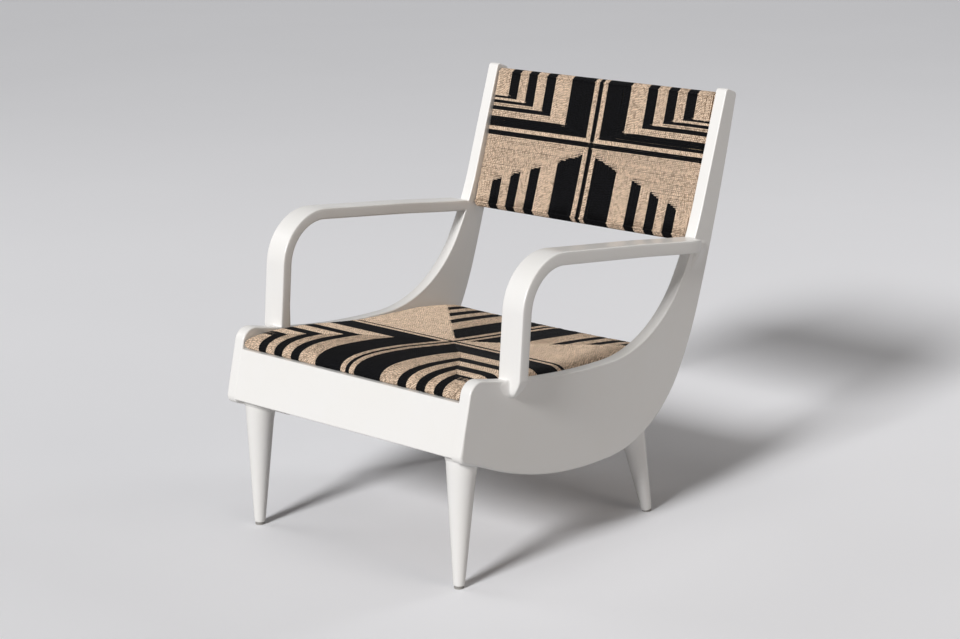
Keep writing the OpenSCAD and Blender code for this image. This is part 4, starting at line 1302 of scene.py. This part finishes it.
def inner_bar(panel, name, u, v):
    """A bar or pad inside a woven panel, from u[0] to u[1] and v[0] to v[1], a little inside the cords."""
    def spread(span, far_low, far_high, gap):
        """Rows across a span, close together where it nears the rounded rim."""
        low, high = span
        rows = set(np.linspace(low, high, max(2, int((high - low) / gap) + 1)).tolist())
        for k in (0.6, 1.8, 3.5, 6, 10, 15, 21, 28):
            rows |= {row for row in (far_high - k, far_low + k) if low < row < high}
        return sorted(rows)

    peaks = {s: np.abs(panel.lines[s][:, 0]).max() for s in (1, -1)}
    us = spread(u, -HALF + BAR_INSET, HALF - BAR_INSET, 24.0)
    vs = spread(v, -peaks[-1] + BAR_INSET, peaks[1] - BAR_INSET, 20.0)
    only(None)
    bpy.ops.mesh.primitive_grid_add(x_subdivisions=len(us) - 1, y_subdivisions=len(vs) - 1, size=1.0)
    piece = bpy.context.object
    piece.name = name
    edited(piece, lambda: extruded(0, 0, 1.0))
    points = []
    for vert in piece.data.vertices:
        pu, pv = us[round((vert.co.x + 0.5) * (len(us) - 1))], vs[round((vert.co.y + 0.5) * (len(vs) - 1))]
        peak = peaks[1 if pv >= 0 else -1]
        wide = pu * HALF / (HALF - BAR_INSET)
        long = pv * peak / (peak - BAR_INSET)
        top, low, side_roll, rear_roll = panel.levels(long)
        high = top + float(panel.crown(np.array(wide), np.array(long))) - float(panel.drop(wide, side_roll)) \
            - BAR_INSET
        base = low + float(panel.drop(wide, rear_roll)) + BAR_INSET
        if high < base + BAR_LEAST:
            middle = (high + base) / 2
            high, base = middle + BAR_LEAST / 2, middle - BAR_LEAST / 2
        points.append((pu, pv, high if vert.co.z > 0.5 else base))
    for vert, point in zip(piece.data.vertices, placed(panel.to_space(np.array(points)))):
        vert.co = point
    return edited(piece, outward)


def finish_weave(which, panel, bundles, bars, upper, lower):
    """Makes the cord meshes of a woven panel, and the rails, the stiles and the packing inside them."""
    for color, bundle in bundles.items():
        name = f"{which}_cord_{color}"
        settle(bundle.build(name), name, finish(f"{color} cord"), f"cord_{color}", f"{which}_weave_{color}")
    wide, between = (-BAR_HALF, BAR_HALF), (lower[1] + BAR_GAP, upper[0] - BAR_GAP)
    spans = ((wide, upper), (wide, lower), ((-BAR_HALF, -STILE_IN), between), ((STILE_IN, BAR_HALF), between))
    for bar, (u, v) in zip(bars, spans):
        name = f"{which}_{bar}_wound"
        settle(inner_bar(panel, name, u, v), name, finish("raw wood"), "raw_wood", f"{which}_{bar}")
    name = f"{which}_packing"
    pad = inner_bar(panel, name, (BAR_GAP - STILE_IN, STILE_IN - BAR_GAP), between)
    settle(pad, name, finish("fibre packing"), "cord_natural")


SEAT_MID = 288.0
SEAT_ROLLS = ((26.0, 17.0), (10.0, 8.0))
SEAT_TONES_IN_SHADE = (0.0, 0.6)       # painted shade: the seat's cords are drawn darker than the back's, as the seat catches less light
SEAT_SPANS = ((242.0, 285.8), (-316.6, -280.0))
# Outer line of the seat at its middle, from the pattern's middle line round each rail
SEAT_FRONT = [(288, 365.8), (219, 375.2), (156, 384.2), (105, 389.2), (72, 391.6), (46, 391.9), (28, 390.6),
              (15, 387.9), (5.6, 384.1), (-0.6, 379.3), (-4.0, 373.8), (-5.0, 369.2), (-3.6, 366.0),
              (1.5, 364.4), (10, 363.6), (60, 358.4), (170, 346.3), (288, 333.2)]
SEAT_REAR = [(288, 365.8), (380, 355.6), (470, 346.6), (545, 338.6), (572, 335.6), (588, 332.4), (599, 327.6),
             (606, 321.0), (608.6, 313.0), (606.5, 305.8), (600, 301.2), (590, 300.0), (560, 303.2),
             (450, 315.4), (288, 333.2)]
# Edges of the seat's bands across the chair and the cords in each, from the middle out, then the front half,
# whose bands turn the corners, and the rear half, whose side cords are all natural
SEAT_X = [5.0, 18, 88, 134, 157, 182, 205, 228, 250, 291.5]
SEAT_CORDS = [1, 4, 21, 14, 7, 8, 7, 7, 7, 12]
SEAT_FORE = {"edges": [4.5, 16.5, 76, 121, 149, 180, 205.5, 231, 256, 286], "counts": SEAT_CORDS,
             "over": 1.5, "reach": 2.5, "dip": 2.6}
SEAT_AFT = {"edges": [4.5], "start": 4.5, "slope": 0.955, "lead_x": 5.0, "group": 1, "pitch": 3.27,
            "last": 281.0, "over": 1.5, "reach": 3.0, "dip": 2.6, "tooth": 2.0, "rise": 0.5, "pull": 0.0}


def seat_crown(u, v):
    """The sides stand a little higher than the middle towards the rear."""
    rise = np.interp(-v, (0, 20, 187, 235, 281, 324), (0.0, 0.4, 10.0, 8.5, 6.5, 3.0))
    return rise * (np.abs(u) / 280.0) ** 2


def seat_space(p):
    """The seat's (u, v, n) as the chair's (x, y, z)."""
    return np.column_stack([p[:, 0], SEAT_MID - p[:, 1], p[:, 2]])


class ARMCHAIR_OT_seat_weave(bpy.types.Operator):
    """Winds the seat's cords over their hidden rails"""
    bl_idname = "armchair.seat_weave"
    bl_label = "Seat weave"

    def execute(self, context):
        look = context.scene.armchair_cord
        radius = look.diameter / MM / 2

        def line(points, *bounds):
            rows, face_end, rear_start = ([(SEAT_MID - y, z) for y, z in part] for part in (points, *bounds))
            return loop_line(rows, face_end[0], rear_start[0], radius)

        panel = WovenPanel(line(SEAT_FRONT, [(46, 391.9)], [(1.5, 364.4)]),
                           line(SEAT_REAR, [(572, 335.6)], [(600, 301.2)]),
                           seat_space, *SEAT_ROLLS, seat_crown, radius, SEAT_TONES_IN_SHADE)
        bundles = {c: CordBundle(look.sides) for c in ("natural", "black")}
        weave(panel, bundles, SEAT_X, SEAT_CORDS, SEAT_FORE, SEAT_AFT)
        finish_weave("seat", panel, bundles, ("rail_front", "rail_rear", "rail_left", "rail_right"),
                     *SEAT_SPANS)
        return {"FINISHED"}


BACK_LEAN = 17.5
BACK_MID = (712.1, 696.8)     # y and z of the pattern's middle line, on the face
BACK_UP = 141.0
BACK_DOWN = 163.0
BACK_T = 27.0
BACK_ROLLS = ((11.0, 9.0), (9.0, 8.0))
# painted light: the back's cords are drawn paler than the seat's, as the back catches more light
BACK_TONES_IN_LIGHT = (0.4, 1.0)
BACK_SPANS = ((100.0, 137.0), (-159.0, -122.0))
# The back's bands, as the seat's: the upper half's turn the corners, the lower half's don't
BACK_X = [5.75, 17.25, 80, 124.5, 150, 176.5, 201, 225, 250, 291.5]
BACK_CORDS = [1, 4, 19, 14, 8, 8, 8, 7, 8, 12]
BACK_UPPER = {"edges": [5, 14, 35, 49, 57, 64, 70, 75, 80, 84], "counts": [1, 3, 6, 4, 3, 2, 2, 2, 2, 1],
              "over": 3.0, "reach": 6.0, "dip": 2.4}
BACK_LOWER = {"edges": [5.0], "start": 14.0, "slope": 0.345, "lead_x": 17.25, "group": 3, "pitch": 3.45,
              "last": 114.0, "over": 3.0, "reach": 3.0, "dip": 2.4, "tooth": 9.0, "rise": 1.7, "pull": 0.55}


def back_crown(u, v):
    """The cords give a little towards the middle of the back."""
    give = np.cos(np.clip(np.abs(u) / 291.0, 0, 1) * math.pi / 2) ** 0.7
    long = np.cos(np.clip(np.abs(v + 11) / 152.0, 0, 1) * math.pi / 2) ** 0.7
    return -3.0 * give * long


def back_space(p):
    """The back's (u, v, n) as the chair's (x, y, z)."""
    lean = math.radians(BACK_LEAN)
    sin, cos = math.sin(lean), math.cos(lean)
    v, n = p[:, 1], p[:, 2]
    return np.column_stack([p[:, 0], BACK_MID[0] + v * sin - n * cos, BACK_MID[1] + v * cos + n * sin])


class ARMCHAIR_OT_back_weave(bpy.types.Operator):
    """Winds the back's cords over their hidden rails and stiles"""
    bl_idname = "armchair.back_weave"
    bl_label = "Back weave"

    def execute(self, context):
        look = context.scene.armchair_cord
        radius = look.diameter / MM / 2

        def line(end):
            """Round the rail that the back has at this distance from its middle line."""
            roll = BACK_T / 2
            bend = [(end - roll + roll * math.sin(q), -roll + roll * math.cos(q))
                    for q in np.linspace(0, math.pi, 9)]
            face, rear = ([(end * k, n) for k in (0, 0.3, 0.6)] for n in (0, -BACK_T))
            return loop_line(face + bend + rear[::-1], bend[0], bend[-1], radius)

        down_line = line(BACK_DOWN)
        down_line[:, 0] *= -1
        panel = WovenPanel(line(BACK_UP), down_line, back_space, *BACK_ROLLS, back_crown, radius, BACK_TONES_IN_LIGHT)
        bundles = {c: CordBundle(look.sides) for c in ("natural", "black")}
        weave(panel, bundles, BACK_X, BACK_CORDS, BACK_UPPER, BACK_LOWER)
        finish_weave("back", panel, bundles, ("rail_top", "rail_bottom", "stile_left", "stile_right"),
                     *BACK_SPANS)
        return {"FINISHED"}


# ---------------------------------------------------------------- frame parts that keep their CAD shape

class ARMCHAIR_OT_hidden_frame(bpy.types.Operator):
    """Gives the hidden rails, blocks, cleats and fasteners their materials"""
    bl_idname = "armchair.hidden_frame"
    bl_label = "Hidden frame"

    def execute(self, context):
        finishes = {"raw_wood": finish("raw wood"), "steel": finish("plated steel")}
        slots = {part["node"]: part["material_slot"] for part in frame["record"]["subparts"]}
        for name, piece in frame["nodes"].items():
            material = finishes.get(slots.get(name))
            # these show from below, and were painted with the frame
            if name == "rear_stretcher" or name.startswith(("leg_block", "seat_cleat")):
                material = finish("painted frame")
            if material is None:
                continue
            if not piece.material_slots:
                piece.data.materials.append(material)
            for slot in piece.material_slots:
                slot.material = material
        return {"FINISHED"}


# ---------------------------------------------------------------- stage

FLOOR_SIZE = 80.0
BACKGROUND = 0.72             # how pale the camera sees the world behind the floor
LAMP_AWAY = 5.5
LAMP_TARGET = (0, 0, 0.4)
KEY = {"azimuth": 7, "elevation": 31, "angle": 14}
# The soft lamps: azimuth from straight ahead towards the chair's left hand, elevation, width, share of the
# key's strength, and colour
SOFT_LAMPS = {"top": (0, 88, 2.4, 0.10, (1.0, 0.98, 0.96)), "right": (90, 20, 2.4, 0.11, (1.0, 0.88, 0.76)),
              "back": (159, 35, 1.2, 0.10, (1.0, 1.0, 1.0)), "left": (-70, 25, 2.0, 0.10, (1.0, 1.0, 1.0))}
CAMERA = {"azimuth": 43.1748, "elevation": 14.6926, "roll": -1.2878, "distance": 4862.59,
          "target": (-191.87, 571.41, 320.34), "lens": 85.575, "sensor": 36.0}


def bearing(azimuth, elevation):
    """Unit vector away from the chair."""
    az, el = math.radians(azimuth), math.radians(elevation)
    return Vector((math.sin(az) * math.cos(el), -math.cos(az) * math.cos(el), math.sin(el)))


def add_lamp(name, kind, azimuth, elevation, color=(1, 1, 1)):
    """Places a lamp and points it at the chair."""
    data = bpy.data.lights.new(name, kind)
    data.color = color
    item = new_piece(name, data)
    away = bearing(azimuth, elevation)
    item.location = away * LAMP_AWAY + Vector(LAMP_TARGET)
    item.rotation_euler = (-away).to_track_quat("-Z", "Y").to_euler()
    return data


class ARMCHAIR_OT_stage(bpy.types.Operator):
    """Sets the floor, the lamps and the camera"""
    bl_idname = "armchair.stage"
    bl_label = "Stage"

    def execute(self, context):
        look, scene = context.scene.armchair_stage, context.scene
        only(None)
        bpy.ops.mesh.primitive_plane_add(size=FLOOR_SIZE, location=(0, 0, 0))
        floor = edited(bpy.context.object, lambda: bpy.ops.mesh.subdivide(number_cuts=3))
        floor.name = "floor"
        floor.data.materials.append(finish("pale floor"))

        world = scene.world = bpy.data.worlds.new("studio")
        world.use_nodes = True
        tree = world.node_tree
        rays = node(tree, "ShaderNodeLightPath").outputs
        seen = math_node(tree, "MAXIMUM", rays["Is Camera Ray"], rays["Is Glossy Ray"])
        fill(tree, tree.nodes["Background"], {"Color": (1.0, 1.0, 1.0, 1.0),
             "Strength": ranged(tree, seen, 0.0, 1.0, look.fill, BACKGROUND)})

        key = add_lamp("key", "SUN", KEY["azimuth"], KEY["elevation"])
        key.energy = look.key
        key.angle = math.radians(KEY["angle"])
        for name, (azimuth, elevation, size, share, color) in SOFT_LAMPS.items():
            soft = add_lamp(name, "AREA", azimuth, elevation, color)
            soft.size = size
            soft.energy = look.key * share * math.pi * LAMP_AWAY ** 2

        data = bpy.data.cameras.new("camera")
        data.lens, data.sensor_width, data.sensor_fit = CAMERA["lens"], CAMERA["sensor"], "HORIZONTAL"
        data.clip_end = 200.0
        camera = new_piece("camera", data)
        back = bearing(CAMERA["azimuth"], CAMERA["elevation"])
        az, roll = math.radians(CAMERA["azimuth"]), math.radians(CAMERA["roll"])
        right = Vector((math.cos(az), math.sin(az), 0.0))
        up = back.cross(right)
        right, up = (math.cos(roll) * right + math.sin(roll) * up,
                     -math.sin(roll) * right + math.cos(roll) * up)
        at = place(*CAMERA["target"]) + back * CAMERA["distance"] * MM
        turn = Matrix((right, up, back)).transposed().to_4x4()
        camera.matrix_world = Matrix.Translation(at) @ turn
        scene.camera = camera
        scene.view_settings.view_transform = "Standard"
        return {"FINISHED"}


# ---------------------------------------------------------------- add-on

STEPS = [ARMCHAIR_OT_side_panels, ARMCHAIR_OT_apron, ARMCHAIR_OT_armrests, ARMCHAIR_OT_legs,
         ARMCHAIR_OT_glides, ARMCHAIR_OT_seat_weave, ARMCHAIR_OT_back_weave, ARMCHAIR_OT_hidden_frame,
         ARMCHAIR_OT_stage]


class ARMCHAIR_PT_panel(bpy.types.Panel):
    """The armchair's sizes, colours and steps"""
    bl_idname = "ARMCHAIR_PT_panel"
    bl_label = "Armchair"
    bl_space_type = "VIEW_3D"
    bl_region_type = "UI"
    bl_category = "Armchair"

    def draw(self, context):
        scene = context.scene
        for group in (scene.armchair_paint, scene.armchair_cord, scene.armchair_stage):
            box = self.layout.box()
            for key in group.__annotations__:
                box.prop(group, key)
        for step in STEPS:
            self.layout.operator(step.bl_idname)


CLASSES = [ArmchairPaint, ArmchairCord, ArmchairStage, *STEPS, ARMCHAIR_PT_panel]


def register():
    for item in CLASSES:
        bpy.utils.register_class(item)
    bpy.types.Scene.armchair_paint = bpy.props.PointerProperty(type=ArmchairPaint)
    bpy.types.Scene.armchair_cord = bpy.props.PointerProperty(type=ArmchairCord)
    bpy.types.Scene.armchair_stage = bpy.props.PointerProperty(type=ArmchairStage)


def unregister():
    del bpy.types.Scene.armchair_stage, bpy.types.Scene.armchair_cord, bpy.types.Scene.armchair_paint
    for item in reversed(CLASSES):
        bpy.utils.unregister_class(item)


def main():
    """Builds the dressed armchair, step by step."""
    register()
    for step in STEPS:
        group, name = step.bl_idname.split(".")
        getattr(getattr(bpy.ops, group), name)()


if __name__ == "__main__":
    main()
